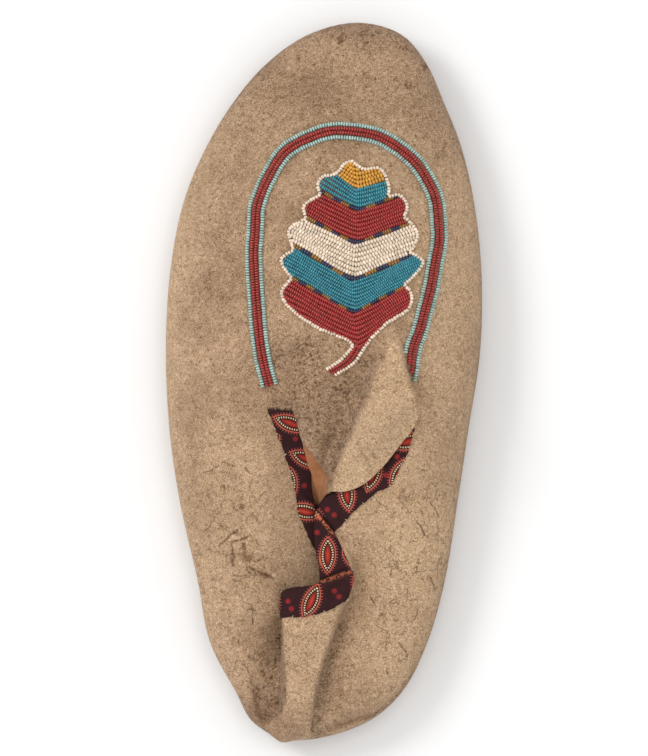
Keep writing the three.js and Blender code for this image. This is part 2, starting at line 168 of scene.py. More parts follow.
# %% The widest line
def bend_through(points, closed, steps=24):
    """A smooth line through the points, close together (centripetal Catmull-Rom)."""
    p = np.array(points, float)
    if closed:
        p = np.vstack([p[-1:], p, p[:2]])
    else:
        p = np.vstack([2 * p[:1] - p[1:2], p, 2 * p[-1:] - p[-2:-1]])
    gap = np.linalg.norm(np.diff(p, axis=0), axis=1) ** 0.5
    f = np.linspace(0, 1, steps, endpoint=False)[:, None]
    runs = []
    for i in range(1, len(p) - 2):
        a, b, c, d = p[i - 1 : i + 3]
        g0, g1, g2 = gap[i - 1 : i + 2]
        out = g1 * ((b - a) / g0 - (c - a) / (g0 + g1) + (c - b) / g1)
        into = g1 * ((c - b) / g1 - (d - b) / (g1 + g2) + (d - c) / g2)
        cube = 2 * b - 2 * c + out + into
        square = 3 * c - 3 * b - 2 * out - into
        runs.append(b + out * f + square * f**2 + cube * f**3)
    line = np.vstack(runs)
    return line if closed else np.vstack([line, p[-2:-1]])


def placed(across, along):
    return (across * BALL_WIDTH, (along - 0.5) * LENGTH)


widest = bend_through(
    [placed(*TOE_TIP)]
    + [placed(-lateral, along) for along, lateral, medial in LAST]
    + [placed(*HEEL_TIP)]
    + [placed(medial, along) for along, lateral, medial in reversed(LAST)],
    closed=True,
)
widest -= (widest.max(0) + widest.min(0)) / 2
closed_widest = np.vstack([widest, widest[:1]])
widest_share = np.r_[0, np.cumsum(np.linalg.norm(np.diff(closed_widest, axis=0), axis=1))]
widest_share /= widest_share[-1]
heel_index = int(np.argmin(widest[:, 1]))


def widest_at(share):
    share = np.mod(share, 1)
    return np.stack([np.interp(share, widest_share, closed_widest[:, k]) for k in (0, 1)], -1)


def share_at(side, y):
    if side == "toe":
        return 0.0
    if side == "lateral":
        part = slice(0, heel_index + 1)
        return float(np.interp(-y, -closed_widest[part, 1], widest_share[part]))
    part = slice(heel_index, None)
    return float(np.interp(y, closed_widest[part, 1], widest_share[part]))


print("widest line", np.ptp(widest, axis=0).round(1), "mm")

# %% [markdown]
# Each row below is one line of the hide, from the widest line to its free edge. The quarters have sunk in
# and the back of the heel has folded forwards over the lateral quarter, so the rows around the heel go
# under, turn back at a valley and a fold, and come out on top.

# %% Rows of the upper
ROW_COLUMNS = ("start", "x", "y", "z", "crest", "at", "band")
ROW_TABLE = [
    ("toe", 0, 9.5, -5.2, 47, 47, 1, 10),
    ("lateral", 112, 6, -5.6, 47, 47, 1, 10),
    ("lateral", 80, 2, -6.4, 46.5, 46.5, 1, 10),
    ("lateral", 45, -4, -7.6, 45, 45, 1, 10),
    ("lateral", 18, -8.5, -8.8, 43.5, 43.5, 0.95, 10),
    ("lateral", -1, -11.3, -10, 41, 42, 0.85, 9.5),
    ("lateral", -14, -8.6, -19, 35, 39.5, 0.76, 8.5),
    ("lateral", -29, -5.6, -27.6, 29.5, 36.5, 0.7, 7.4),
    ("lateral", -47, -5.3, -40.4, 26, 34, 0.66, 6.6),
    ("lateral", -60, -3.4, -48.6, 24.5, 32.5, 0.6, 7),
    ("lateral", -74, -0.8, -58.8, 23.2, 30.6, 0.48, 5.6),
    ("lateral", -91, 1, -70, 21.6, 28, 0.34, 5),
    ("lateral", -111, 3, -80, 19.6, 25.2, 0.2, 7),
    ("lateral", -119, 3.4, -83.2, 20.4, 24, 0.2, 9),
    ("lateral", -123.5, 0.5, -85.2, 24.2, 25.2, 0.26, 10.5),
    ("lateral", -129.6, -8, -83.7, 25.6, 27.4, 0.3, 10.5),
    ("lateral", -133.2, -14.9, -81.2, 27.2, 29, 0.34, 10.5),
    ("lateral", -134.2, -15.3, -79.3, 31.8, 32.6, 0.38, 10.5),
    ("medial", -134.5, -11, -78.2, 33.3, 33.8, 0.4, 10.5),
    ("medial", -133.8, -5.6, -77.7, 33.4, 34, 0.42, 10.5),
    ("medial", -130.2, -1.2, -75.6, 33, 33.5, 0.42, 10.3),
    ("medial", -124.5, -0.9, -69.5, 32.2, 32.5, 0.42, 15.6),
    ("medial", -115.5, -2.6, -61.4, 31.3, 32, 0.42, 21),
    ("medial", -104, -2.8, -52.5, 30.4, 32, 0.42, 18),
    ("medial", -90, -0.8, -46.4, 29.6, 32.5, 0.46, 10.8),
    ("medial", -75, 4, -41.8, 29.8, 33.5, 0.5, 10.5),
    ("medial", -54, 13.5, -32.9, 32.5, 36, 0.6, 10.5),
    ("medial", -34, 20.7, -25.3, 36.5, 39, 0.7, 10.5),
    ("medial", -16, 23.7, -16.3, 41, 42, 0.8, 10.5),
    ("medial", 0, 25.9, -8.8, 44.5, 44.5, 0.95, 10.5),
    ("medial", 19, 22.5, -7, 45.5, 45.5, 1, 10),
    ("medial", 47, 19, -6.2, 46.5, 46.5, 1, 10),
    ("medial", 80, 15.8, -5.7, 47, 47, 1, 10),
    ("medial", 112, 12.8, -5.4, 47, 47, 1, 10),
]
ROWS = len(ROW_TABLE)
LATERAL_THROAT, MEDIAL_THROAT = 5, 29
rows = dict(zip(ROW_COLUMNS, np.array([row[1:] for row in ROW_TABLE], float).T))
rows["share"] = np.array([share_at(row[0], row[1]) for row in ROW_TABLE])
print(ROWS, "rows")


def row_value(key, t):
    """A column of the table between its rows, smoothly and right round the shoe."""
    k = np.floor(t).astype(int)
    f = t - k
    a, b, c, d = (rows[key][(k + step) % ROWS] for step in (-1, 0, 1, 2))
    return b + 0.5 * ((c - a) * f + (2 * a - 5 * b + 4 * c - d) * f**2 + (3 * b - a - 3 * c + d) * f**3)


def row_share(t):
    return np.interp(t, np.arange(ROWS + 1), np.r_[rows["share"], 1])

# %% [markdown]
# The sole's edge curls up a little, more at the toe, and the upper's turned-in edge lies on it. From there
# a row swells out to the widest line, climbs over the shoulder to its crest and falls to its free edge.

# %% The sheet of hide as a function
SPINE_HEEL, SPINE_TOE = np.array([-4.0, -88.0]), np.array([6.0, 84.0])


def inward(edge):
    y = np.clip(edge[..., 1], SPINE_HEEL[1], SPINE_TOE[1])
    f = ((y - SPINE_HEEL[1]) / (SPINE_TOE[1] - SPINE_HEEL[1]))[..., None]
    way = SPINE_HEEL + (SPINE_TOE - SPINE_HEEL) * f - edge
    return way / np.linalg.norm(way, axis=-1, keepdims=True), np.linalg.norm(way, axis=-1)


def sole_curl(edge):
    along = edge[..., 1] / LENGTH + 0.5
    stations = (0, 0.15, 0.8, 1)
    return np.interp(along, stations, (22, 16, 16, 38)), np.interp(along, stations, (2.5, 2, 2, 6))


def sole_lift(edge, inside):
    width, rise = sole_curl(edge)
    return rise * np.clip(1 - inside / width, 0, None) ** 2


def hide_sheet(t, s):
    """Points of the hide's outer face. s runs from -2, the turned-in edge, by -1, where it leaves the sole,
    and 0, the widest line, to 1, the free edge."""
    edge = widest_at(row_share(t))
    way, _ = inward(edge)
    turned_in = np.clip(-1 - s, 0, 1)
    swell = np.clip(1 + s, 0, 1) * math.pi / 2
    inset = SEAM_ALLOWANCE * turned_in + SOLE_INSET * (1 - np.sin(swell))
    base = sole_lift(edge, SEAM_ALLOWANCE * turned_in) + SOLE_THICKNESS + SEAM_GAP
    wall_z = base + BULGE_HEIGHT * (1 - np.cos(swell))
    top = np.clip(s, 0, 1)
    free = np.stack([row_value("x", t), row_value("y", t)], -1)
    crest, at = row_value("crest", t), np.minimum(row_value("at", t), 1)
    climb = np.sqrt(1 - np.clip(1 - top / at, 0, 1) ** SHOULDER_POWER)
    fall = np.clip((top - at) / np.maximum(1 - at, 1e-6), 0, 1)
    low = sole_lift(edge, 0) + SOLE_THICKNESS + SEAM_GAP + BULGE_HEIGHT
    top_z = low + (crest - low) * climb + (row_value("z", t) - crest) * fall**2 * (2 - fall)
    plan = edge + way * inset[..., None]
    plan = np.where(s[..., None] > 0, edge + (free - edge) * top[..., None], plan)
    return np.concatenate([plan, np.where(s > 0, top_z, wall_z)[..., None]], -1)


print("throat", hide_sheet(np.array([0.0]), np.array([1.0])).round(1))

# %% [markdown]
# ## Folds
# Old soft hide keeps the folds it was left in. They are laid along short lines, in the shoe's own
# millimetres, as ridges and troughs with a soft side and a sharp side.

# %% Distance from a given line
def beside(line, x, y):
    """Signed distance to a line (positive on its right as it is walked) and the share of its length."""
    points = np.array(line, float)
    steps = np.linalg.norm(np.diff(points, axis=0), axis=1)
    starts = np.r_[0, np.cumsum(steps)]
    best = np.full(np.shape(x), 1e9)
    share = np.zeros(np.shape(x))
    for i, (a, b) in enumerate(zip(points[:-1], points[1:])):
        way = (b - a) / steps[i]
        along = np.clip((x - a[0]) * way[0] + (y - a[1]) * way[1], 0, steps[i])
        dx, dy = x - a[0] - way[0] * along, y - a[1] - way[1] * along
        away = np.hypot(dx, dy)
        side = np.sign(dx * way[1] - dy * way[0])
        near = away < np.abs(best)
        best = np.where(near, away * np.where(side == 0, 1, side), best)
        share = np.where(near, (starts[i] + along) / starts[-1], share)
    return best, share


def ease(low, high, value):
    """From 0 at the low value to 1 at the high one, without a corner."""
    f = np.clip((value - low) / (high - low), 0, 1)
    return f * f * (3 - 2 * f)


def bell(value, reach, middle=0):
    """1 at the middle value, and little left beyond the reach."""
    return np.exp(-(((value - middle) / reach) ** 2))

# %% [markdown]
# The tongue's fold puffs up from the vamp and leans over at its medial edge. The troughs lie beside the
# folded heel and across the quarters. Each one fades out at its ends and stays on its own rows.

# %% The folds of the upper
FOLD_PUFF, FOLD_HOLLOW = 6.5, 3  # height of the tongue's fold, and depth of the hollow beside it
FOLD_LIP = 2.4  # how far the fold's edge leans over the band
HEEL_CORNER = 1.7  # how far the heel's lateral corner stands out
TONGUE_FOLD_EDGE = [(25.3, 22.8), (27.4, 17.1), (29.5, 11), (30.6, 5), (32.4, -2.4), (34.8, -9.3)]
TONGUE_FOLD_CREST = [(25.3, 22.8), (23.7, 15.6), (20.7, 7.3), (17.6, -1.7), (13.9, -10), (10.9, -18.2)]
TONGUE_FOLD_CREST += [(7.1, -25.7), (4.1, -34.7), (2.4, -41)]


def fold_lean(down):
    """How far the fold's edge leans out, at a share of its length."""
    return FOLD_LIP * ease(0.35, 1, down)


def tongue_fold(x, y):
    """The puffed fold that starts on the vamp and widens into the tongue: its height, and how far its
    medial lip leans out over the vamp."""
    edge, down = beside(TONGUE_FOLD_EDGE, x, y)
    crest, _ = beside(TONGUE_FOLD_CREST, x, y)
    risen = ease(-0.5, 0.9, edge)
    puff = FOLD_PUFF * ease(0, 0.7, down) * ease(-5, 0.8, -crest) * risen
    hollow = FOLD_HOLLOW * ease(0.1, 0.7, down) * bell(crest, 7, 8)
    lip = fold_lean(down) * ease(0.3, 1, risen)
    return puff - hollow, lip * bell((edge - 0.9).clip(0), 4)


FLAP_VALLEY = [(5, -57), (11.5, -66), (12.2, -78), (7.8, -85.5), (5, -93.3), (0.9, -104.6)]
FLAP_VALLEY += [(-2.6, -118), (-4.2, -128), (-4.8, -137)]
HEEL_SEAM = [(-4.1, -131.8), (3.8, -130.3), (10.5, -127.4), (18.8, -125), (26, -119.6), (33, -110)]
FLAP_EDGE = [(-15.6, -86), (-15, -100), (-14.2, -112), (-14, -119), (-15.6, -124), (-20, -128)]

# Each trough: line, depth, reach on its left and on its right as it is walked, and the rows it lies on.
TROUGHS = [
    ("beside the heel flap", FLAP_VALLEY, 5.5, 12, 0.8, 18.2, 26),
    ("lateral hollow", FLAP_EDGE, 3.5, 1, 9, 6, 16),
    ("heel seam", HEEL_SEAM, 2.4, 2.4, 0.7, 19, 25),
    ("lateral heel pleat", [(-26.5, -113), (-24, -122.6), (-21, -131)], 3, 5, 1.2, 6, 17),
    ("outer vamp", [(-38, 74), (-41, 58), (-40, 40)], 1.4, 9, 9, 0, 6),
    ("medial vamp", [(47, 40), (49, 18), (46, -2)], 1.2, 4, 7, 26, 34),
    ("lateral quarter", [(-38, -50), (-27, -66), (-20, -72)], 1.0, 5, 4, 6, 12),
    ("lateral quarter low", [(-46, -62), (-36, -78), (-26, -84)], 0.8, 5, 5, 6, 12),
    ("medial quarter", [(30, -52), (33, -72), (30, -92)], 0.9, 7, 6, 22, 28),
    ("pinch at the fold", [(25, 14.5), (22.6, 9.6), (20, 4)], 1.3, 1.6, 1.3, 28, 34),
]
print(len(TROUGHS), "troughs")


def trough(x, y, t, line, depth, left, right, first, last):
    away, share = beside(line, x, y)
    reach = np.where(away > 0, right, left)
    ends = ease(0, 0.2, share) * ease(0, 0.2, 1 - share)
    held = ease(first - 1, first, t) * ease(-last - 1, -last, -t)
    return -depth * bell(away, reach) * ends * held


def skin(t, s):
    """The hide's outer face with its folds."""
    points = hide_sheet(t, s)
    x, y = points[..., 0], points[..., 1]
    on_top = ease(0, 0.06, s)
    front = ease(0, 0.8, np.where(t > ROWS / 2, t - MEDIAL_THROAT + 1, LATERAL_THROAT - t))
    held = front * ease(-13, -6, y) * on_top
    lift, lip = tongue_fold(x, y)
    lift = lift * held
    for name, *fold in TROUGHS:
        lift = lift + trough(x, y, t, *fold)
    points[..., 2] += lift * on_top
    points[..., 0] += lip * held * (t > ROWS / 2)
    on_heel_wall = ease(-0.9, -0.2, s) * ease(-0.16, 0, -s) * (y < -110)
    points[..., 1] -= HEEL_CORNER * bell(x, 3.5, -16) * on_heel_wall
    return points


def skin_normal(t, s):
    step = 0.004
    around = skin(np.mod(t + step * 5, ROWS), s) - skin(np.mod(t - step * 5, ROWS), s)
    along = skin(t, np.minimum(s + step, 1)) - skin(t, np.minimum(s + step, 1) - 2 * step)
    normal = np.cross(around, along)
    return normal / np.linalg.norm(normal, axis=-1, keepdims=True)

# %% [markdown]
# ## Making a sheet
# Every soft piece here starts as a flat grid. Each vertex of the grid carries its place on the sheet, from
# 0 to 1 each way, and a function moves it to where that place lies on the shoe.

# %% A grid that is moved into shape
def sheet_piece(name, columns, lines, shape):
    bm = bmesh.new()
    bmesh.ops.create_grid(bm, x_segments=columns, y_segments=lines, size=1)
    flat = np.array([vert.co[:2] for vert in bm.verts]) / 2 + 0.5
    for vert, point in zip(bm.verts, shape(flat[:, 0], flat[:, 1])):
        vert.co = Vector(point) * MM
    for face in bm.faces:
        face.smooth = True
    bmesh.ops.remove_doubles(bm, verts=bm.verts, dist=1e-6)
    piece = shown(name, bm)
    print(name, len(piece.data.polygons), "faces")
    return piece


def thicken(piece, thickness, offset, inner_slot=0):
    wall = piece.modifiers.new("wall", "SOLIDIFY")
    wall.thickness = thickness * MM
    wall.offset = offset
    wall.material_offset = inner_slot
    wall.material_offset_rim = inner_slot


def mark(piece, name, values):
    """Stores one number for each vertex, for a material to read."""
    layer = piece.data.attributes.new(name, "FLOAT", "POINT")
    layer.data.foreach_set("value", np.asarray(values, np.float32))


def points_of(piece):
    flat = np.empty(len(piece.data.vertices) * 3)
    piece.data.vertices.foreach_get("co", flat)
    return flat.reshape(-1, 3) / MM

# %% [markdown]
# ## The upper
# The grid goes once round the shoe and from the turned-in edge to the free edge. Lines are closer together
# near the widest line, where the hide turns over quickly. A Solidify modifier gives the wall its thickness
# inwards, and puts a second material on the inside.

# %% Upper
UPPER_COLUMNS, UPPER_LINES = ROWS * 14, 66
TO_SOLE_EDGE, TO_WIDEST = 0.04, 0.2  # shares of the grid's lines


def along_row(v):
    """From the grid's 0 to 1 to the sheet's -2 to 1."""
    turned_in = -2 + v / TO_SOLE_EDGE
    swell = -1 + (v - TO_SOLE_EDGE) / (TO_WIDEST - TO_SOLE_EDGE)
    top = ((v - TO_WIDEST) / (1 - TO_WIDEST)).clip(0) ** 1.35
    return np.where(v < TO_SOLE_EDGE, turned_in, np.where(v < TO_WIDEST, swell, top))


def upper_skin(u, v):
    return skin(np.mod(u * ROWS, ROWS), along_row(v))


upper = sheet_piece("hide_upper", UPPER_COLUMNS, UPPER_LINES, upper_skin)
thicken(upper, HIDE, -1, 1)
upper_tree = BVHTree.FromObject(upper, bpy.context.evaluated_depsgraph_get())
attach(upper, "root")
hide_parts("upper")


def upper_under(x, y):
    """The upper's outer face under a point in plan, and its normal, in millimetres."""
    place, normal, _, _ = upper_tree.ray_cast(Vector((x * MM, y * MM, 0.1)), Vector((0, 0, -1)))
    return (np.array(place) / MM, np.array(normal)) if place else (None, None)

# %% [markdown]
# ## The sole
# The sole is one cut piece of hide. The grid goes round it once, from the middle of the underside out to
# the edge, round the edge and back over the top to the middle, so it closes on itself.

# %% Sole
SOLE_COLUMNS, SOLE_LINES = 180, 40
UNDERSIDE_SHARE, EDGE_SHARE = 0.42, 0.58


def sole_skin(u, v):
    edge = widest_at(u)
    way, span = inward(edge)
    radius = SOLE_THICKNESS / 2
    turn = (np.clip((v - UNDERSIDE_SHARE) / (EDGE_SHARE - UNDERSIDE_SHARE), 0, 1) - 0.5) * math.pi
    to_middle = np.where(v < 0.5, 1 - v / UNDERSIDE_SHARE, (v - EDGE_SHARE) / (1 - EDGE_SHARE)).clip(0)
    inset = radius * (1 - np.cos(turn)) + to_middle * (span - SOLE_INSET - radius)
    z = sole_lift(edge, inset) + radius * (1 + np.sin(turn))
    plan = edge + way * (SOLE_INSET + inset)[:, None]
    return np.concatenate([plan, z[:, None]], -1)


sole = sheet_piece("hide_sole", SOLE_COLUMNS, SOLE_LINES, sole_skin)
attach(sole, "root")
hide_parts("sole")

# %% [markdown]
# ## The tongue
# The tongue is the vamp's own hide, running on past the throat. Its rows start on the vamp, leave it
# without a corner and fan out to the free edge, hollow on the lateral side and puffed up on the medial one.

# %% Rows of the tongue
# Where each row starts in plan, where it ends, and how far its middle sags.
TONGUE_ROWS = [
    (-11.6, -8.4, -14, -19, 29, 1),
    (-7.5, -7.7, -11.5, -30, 24, 1),
    (-4.5, -6.8, -10, -39, 21.5, 1),
    (-1.5, -6.2, -7, -46, 20, 1),
    (1.5, -5.6, -2.5, -46.5, 22, 1),
    (4, -5.2, 0.2, -42.8, 28.5, 2),
    (6.5, -4.8, 2.4, -41.3, 32.2, 2.5),
    (9, -4.4, 8, -41.2, 33.6, 0.5),
    (12.5, -3.9, 15, -38.4, 35.6, -2),
    (17, -3.2, 22.4, -31.5, 39, -3),
    (22, -2.6, 28.6, -23.6, 42.4, -3),
    (28, -2.4, 33.2, -17.8, 45.4, -2),
    (32.6, -2.4, 35.8, -12, 47.8, -1),
]
SLOPE_STEP = 3
tongue_lines = bend_through(TONGUE_ROWS, closed=False)
tongue_place = np.linspace(0, 1, len(tongue_lines))


def vamp_height(x, y):
    """Height of the vamp at a place, or at the first place towards the toe that lies on it."""
    while upper_under(x, y)[0] is None:
        y += 0.3
    return upper_under(x, y)[0][2]


root_height = np.array([vamp_height(*line[:2]) for line in tongue_lines])
ahead_height = np.array([vamp_height(line[0], line[1] + SLOPE_STEP) for line in tongue_lines])
root_slope = (root_height - ahead_height) / SLOPE_STEP
print("tongue starts", root_height.min().round(1), "to", root_height.max().round(1), "mm up")

# %% [markdown]
# Each row is a smooth curve that leaves the vamp at the vamp's own slope. The lateral part is tucked under
# and shows its bare inner face. Two short creases cross the free end.

# %% Tongue
TONGUE_COLUMNS, TONGUE_LINES, TONGUE_HIDE = 150, 110, 1.3
TONGUE_CREASES = [[(12.6, -23), (15, -27.6), (17.6, -31.7)], [(16.5, -24.5), (19.6, -29)]]
TUCK = [(-9, -20), (-6.4, -24.6), (-4.1, -26.9), (-1.1, -31.4), (1.9, -35.9), (1.4, -43)]


def tongue_skin(u, v):
    root_x, root_y, x, y, z, sag = (np.interp(u, tongue_place, column) for column in tongue_lines.T)
    root_z = np.interp(u, tongue_place, root_height) + 0.05
    run = np.hypot(x - root_x, y - root_y)
    slope = np.interp(u, tongue_place, root_slope).clip(-0.6, 0.1)
    leave = np.stack([x - root_x, y - root_y, run * slope], -1)
    arrive = np.stack([x - root_x, y - root_y, (z - root_z) * 1.3], -1)
    f = (1 - v)[:, None]
    root, free = np.stack([root_x, root_y, root_z], -1), np.stack([x, y, z], -1)
    points = root * (2 * f**3 - 3 * f**2 + 1) + leave * (f**3 - 2 * f**2 + f)
    points += free * (3 * f**2 - 2 * f**3) + arrive * (f**3 - f**2)
    middle = np.sin(math.pi * f[:, 0]) ** 2
    crest, _ = beside(TONGUE_FOLD_CREST, points[:, 0], points[:, 1])
    tuck, _ = beside(TUCK, points[:, 0], points[:, 1])
    points[:, 2] -= sag * middle
    points[:, 2] += middle * (1.6 * bell(crest, 3, -2) - 2.4 * bell(crest, 3.5, 4))
    points[:, 2] -= ease(0.1, 0.8, tuck) * ease(0.1, 0.4, f[:, 0]) * 1.2
    for line in TONGUE_CREASES:
        crease, share = beside(line, points[:, 0], points[:, 1])
        points[:, 2] -= 0.45 * bell(crease, 0.6) * ease(0, 0.3, share)
    return points


tongue = sheet_piece("hide_tongue", TONGUE_COLUMNS, TONGUE_LINES, tongue_skin)
thicken(tongue, TONGUE_HIDE, -1)
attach(tongue, "root")
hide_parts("tongue")
print("tongue reaches", points_of(tongue).max(0).round(1))

# %% [markdown]
# ## The collar binding
# A strip of printed cotton is folded over the collar's edge and sewn down on both faces. Its sewn edge is
# not quite even, so it is laid as a line, and each row of the hide is followed out from the collar until
# it meets that line.

# %% Width of the binding along each row
LATERAL_SEWN = [
    (-20.8, -11), (-17.6, -19.7), (-14.8, -26.8), (-12.8, -33.2), (-11.1, -39.6), (-9.8, -48.8),
    (-6.9, -56), (-3, -64.2), (-1.2, -70), (0.6, -74), (2, -80), (2.6, -86),
]
MEDIAL_SEWN = [
    (-24, -88.6), (-15.2, -88.4), (-7.1, -88), (-1.7, -87), (5.3, -83.9), (8.4, -81.6), (10.2, -78.4),
    (10.9, -73.8), (10.1, -70), (7.1, -63.6), (3.6, -57), (6.3, -54.1), (9.65, -50.1), (15, -45.4),
    (19.7, -41.3), (24.6, -39.6), (30.3, -28.9), (33.6, -19), (33.4, -12), (30, -5), (24, 2),
]
BAND_STEP = 0.2


def sewn_width(t):
    """How far along its row the binding reaches, in plan."""
    edge = widest_at(row_share(t))
    free = np.stack([row_value("x", t), row_value("y", t)], -1)
    span = np.linalg.norm(edge - free, axis=-1)
    width = row_value("band", t)
    for line, first, last in ((LATERAL_SEWN, 4.9, 12.6), (MEDIAL_SEWN, 15.4, 29.1)):
        away = np.arange(0, 30, BAND_STEP)
        path = free[:, None] + (edge - free)[:, None] * (away / span[:, None])[..., None]
        side, _ = beside(line, path[..., 0], path[..., 1])
        crossed = side * side[:, :1] < 0
        k, row = np.argmax(crossed, 1), np.arange(len(t))
        before, after = np.abs(side[row, k - 1]), np.abs(side[row, k])
        reach = away[k] - BAND_STEP * after / (before + after)
        width = np.where((t >= first) & (t <= last) & crossed.any(1), reach, width)
    evened = np.convolve(np.pad(width, 4, mode="edge"), np.hanning(11)[1:-1] / 5, "valid")
    return evened, span


binding_t = np.linspace(LATERAL_THROAT, MEDIAL_THROAT, 721)
binding_width, binding_span = sewn_width(binding_t)
collar_edge = hide_sheet(binding_t, np.ones_like(binding_t))
binding_along = np.r_[0, np.cumsum(np.linalg.norm(np.diff(collar_edge, axis=0), axis=1))]
print("binding", binding_width.min().round(1), "to", binding_width.max().round(1), "mm along its rows")

# %% [markdown]
# The strip's grid runs along the collar and from the outer sewn edge, over the collar, to the inner one. At
# its two sharp corners the strip laps over itself, so it stands up a little on one side of a line there.

# %% Binding
BINDING_COLUMNS, BINDING_LINES = 600, 60
INSIDE_WIDTH, CLOTH, CLOTH_GAP = 6, 0.4, 0.12
EDGE_PART = 0.05  # share of the strip's half width that turns over the collar's edge

# Where the strip laps over itself as it turns a corner: the right side of each line, as walked, is on top.
BINDING_LAPS = [[(-3.4, -48.2), (3.8, -57)], [(-0.4, -74.4), (11.2, -70.2)]]


def lapped(points):
    """How far the cloth stands up where it laps over itself."""
    rise = np.zeros(len(points))
    for line in BINDING_LAPS:
        away, _ = beside(line, points[:, 0], points[:, 1])
        rise += 2 * ease(-0.1, 0.45, away) * bell(away, 5) - 0.6 * bell(away, 0.8, -0.5)
    return rise


def binding_skin(u, v):
    side = 1 - 2 * v
    square_end = (0.14 + 0.12 * np.abs(side)) * np.exp(-u * 24)
    t = LATERAL_THROAT + u * (MEDIAL_THROAT - LATERAL_THROAT) + square_end
    along = np.interp(t, binding_t, binding_along)
    scallop = 0.14 * np.sin(along * 0.62) + 0.1 * np.sin(along * 1.7 + 1)
    width = np.where(side > 0, np.interp(t, binding_t, binding_width) + scallop, INSIDE_WIDTH)
    share = np.clip((np.abs(side) - EDGE_PART) / (1 - EDGE_PART), 0, 1)
    s = 1 - share * width / np.interp(t, binding_t, binding_span)
    base, normal = skin(t, s), skin_normal(t, s)
    past = skin(t, s) - skin(t, s - 0.01)
    past /= np.linalg.norm(past, axis=-1, keepdims=True)
    round_edge = np.clip(side / EDGE_PART, -1, 1) * math.pi / 2
    body = np.sin(math.pi * share)
    puff = body**0.5 * (0.4 * body + 0.2 * np.sin(along * 0.62 + 2 * share) * body + lapped(base))
    height = np.where(side > 0, CLOTH_GAP + puff.clip(0), -HIDE - CLOTH_GAP)
    middle = -HIDE / 2 + (HIDE / 2 + CLOTH_GAP) * np.sin(round_edge)
    height = np.where(np.abs(side) < EDGE_PART, middle, height)
    out = np.where(np.abs(side) < EDGE_PART, (HIDE / 2 + CLOTH_GAP) * np.cos(round_edge), 0)
    return base + normal * height[:, None] + past * out[:, None]


binding = sheet_piece("calico_binding", BINDING_COLUMNS, BINDING_LINES, binding_skin)
thicken(binding, CLOTH, 1)
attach(binding, "root")
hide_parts("collar_binding")

# %% [markdown]
# ## Beads
# A seed bead is a short rounded barrel strung through its hole, so its axis lies along its row. One small
# barrel is bevelled, then laid down once for every bead, squashed to that bead's size and turned along its
# row, on the hide found under it by a ray from above.

# %% One bead
BEAD_SIDES, BEAD_HEIGHT = 8, 1.35


def bead_barrel():
    bm = bmesh.new()
    bmesh.ops.create_cone(bm, cap_ends=True, segments=BEAD_SIDES, radius1=0.5, radius2=0.5, depth=1)
    bmesh.ops.rotate(bm, verts=bm.verts, matrix=Matrix.Rotation(math.pi / 2, 3, "Y"))
    caps = [face for face in bm.faces if len(face.verts) == BEAD_SIDES]
    rims = [edge for edge in bm.edges if any(face in caps for face in edge.link_faces)]
    bmesh.ops.bevel(bm, geom=rims, offset=0.27, segments=2, profile=0.5, affect="EDGES", material=-1)
    for face in bm.faces:
        face.smooth = True
    mesh = bpy.data.meshes.new("bead_barrel")
    bm.to_mesh(mesh)
    bm.free()
    return mesh


def linear(red, green, blue):
    """A colour as seen on a screen, from 0 to 255, in the light's own scale."""
    parts = [value / 255 for value in (red, green, blue)]
    return tuple(c / 12.92 if c <= 0.04045 else ((c + 0.055) / 1.055) ** 2.4 for c in parts) + (1,)


BEAD_COLOURS = {
    "light blue": linear(158, 186, 178),
    "brick": linear(160, 43, 40),
    "teal": linear(54, 132, 146),
    "gold": linear(206, 146, 50),
    "ivory": linear(228, 208, 186),
    "navy": linear(44, 44, 74),
    "amber": linear(142, 98, 40),
    "thread": linear(196, 176, 148),
    "frayed": linear(74, 44, 40),
}
barrel = bead_barrel()
dice = np.random.default_rng(12)
print("a bead has", len(barrel.polygons), "faces")

# %% [markdown]
# No two beads lie quite alike, so each is turned, stretched and toned a little by numbers drawn from a
# seeded generator. The seed makes every run draw the same ones.

# %% Laying beads
TURN_SPREAD, LENGTH_SPREAD, TONE_SPREAD = 0.05, 0.05, 0.1
BEAD_RISE = 0.42  # how high a bead's middle stands, as a share of its height


def lay_beads(name, beads, node, height=BEAD_HEIGHT):
    """Each bead: x and y in plan, the heading of its row, its length along and width across, its colour."""
    bm = bmesh.new()
    tones = []
    for x, y, heading, length, width, colour in beads:
        place, normal = upper_under(x, y)
        up = Vector(normal)
        along = Vector((math.cos(heading), math.sin(heading), 0))
        across = up.cross(along).normalized()
        along = across.cross(up)
        turn = dice.normal(0, TURN_SPREAD)
        along = (along + across * turn).normalized()
        across = up.cross(along)
        stretch = 1 + dice.normal(0, LENGTH_SPREAD)
        axes = Matrix((along * length * stretch, across * width, up * height)).transposed().to_4x4()
        axes = Matrix.Translation(Vector(place) + up * (height * BEAD_RISE)) @ axes
        lay = Matrix.Scale(MM, 4) @ axes
        barrel.transform(lay)
        bm.from_mesh(barrel)
        barrel.transform(lay.inverted())
        tone = 1 + dice.normal(0, TONE_SPREAD)
        tones.append([channel * tone for channel in BEAD_COLOURS[colour][:3]] + [1])
    piece = shown(name, bm)
    layer = piece.data.attributes.new("bead_colour", "FLOAT_COLOR", "POINT")
    layer.data.foreach_set("color", np.repeat(np.array(tones), len(barrel.vertices), axis=0).ravel())
    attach(piece, "root")
    if node:
        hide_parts(node)
    print(name, len(beads), "bits")
    return piece


def paced(line, pitch):
    """Points at an even pace along a line, with the heading at each."""
    steps = np.linalg.norm(np.diff(line, axis=0), axis=1)
    along = np.r_[0, np.cumsum(steps)]
    count = max(int(round(along[-1] / pitch)), 1)
    at = (np.arange(count) + 0.5) * along[-1] / count
    points = np.stack([np.interp(at, along, line[:, k]) for k in (0, 1)], -1)
    way = np.diff(line, axis=0)
    heading = np.unwrap(np.arctan2(way[:, 1], way[:, 0]))
    return points, np.interp(at, along[:-1] + steps / 2, heading)

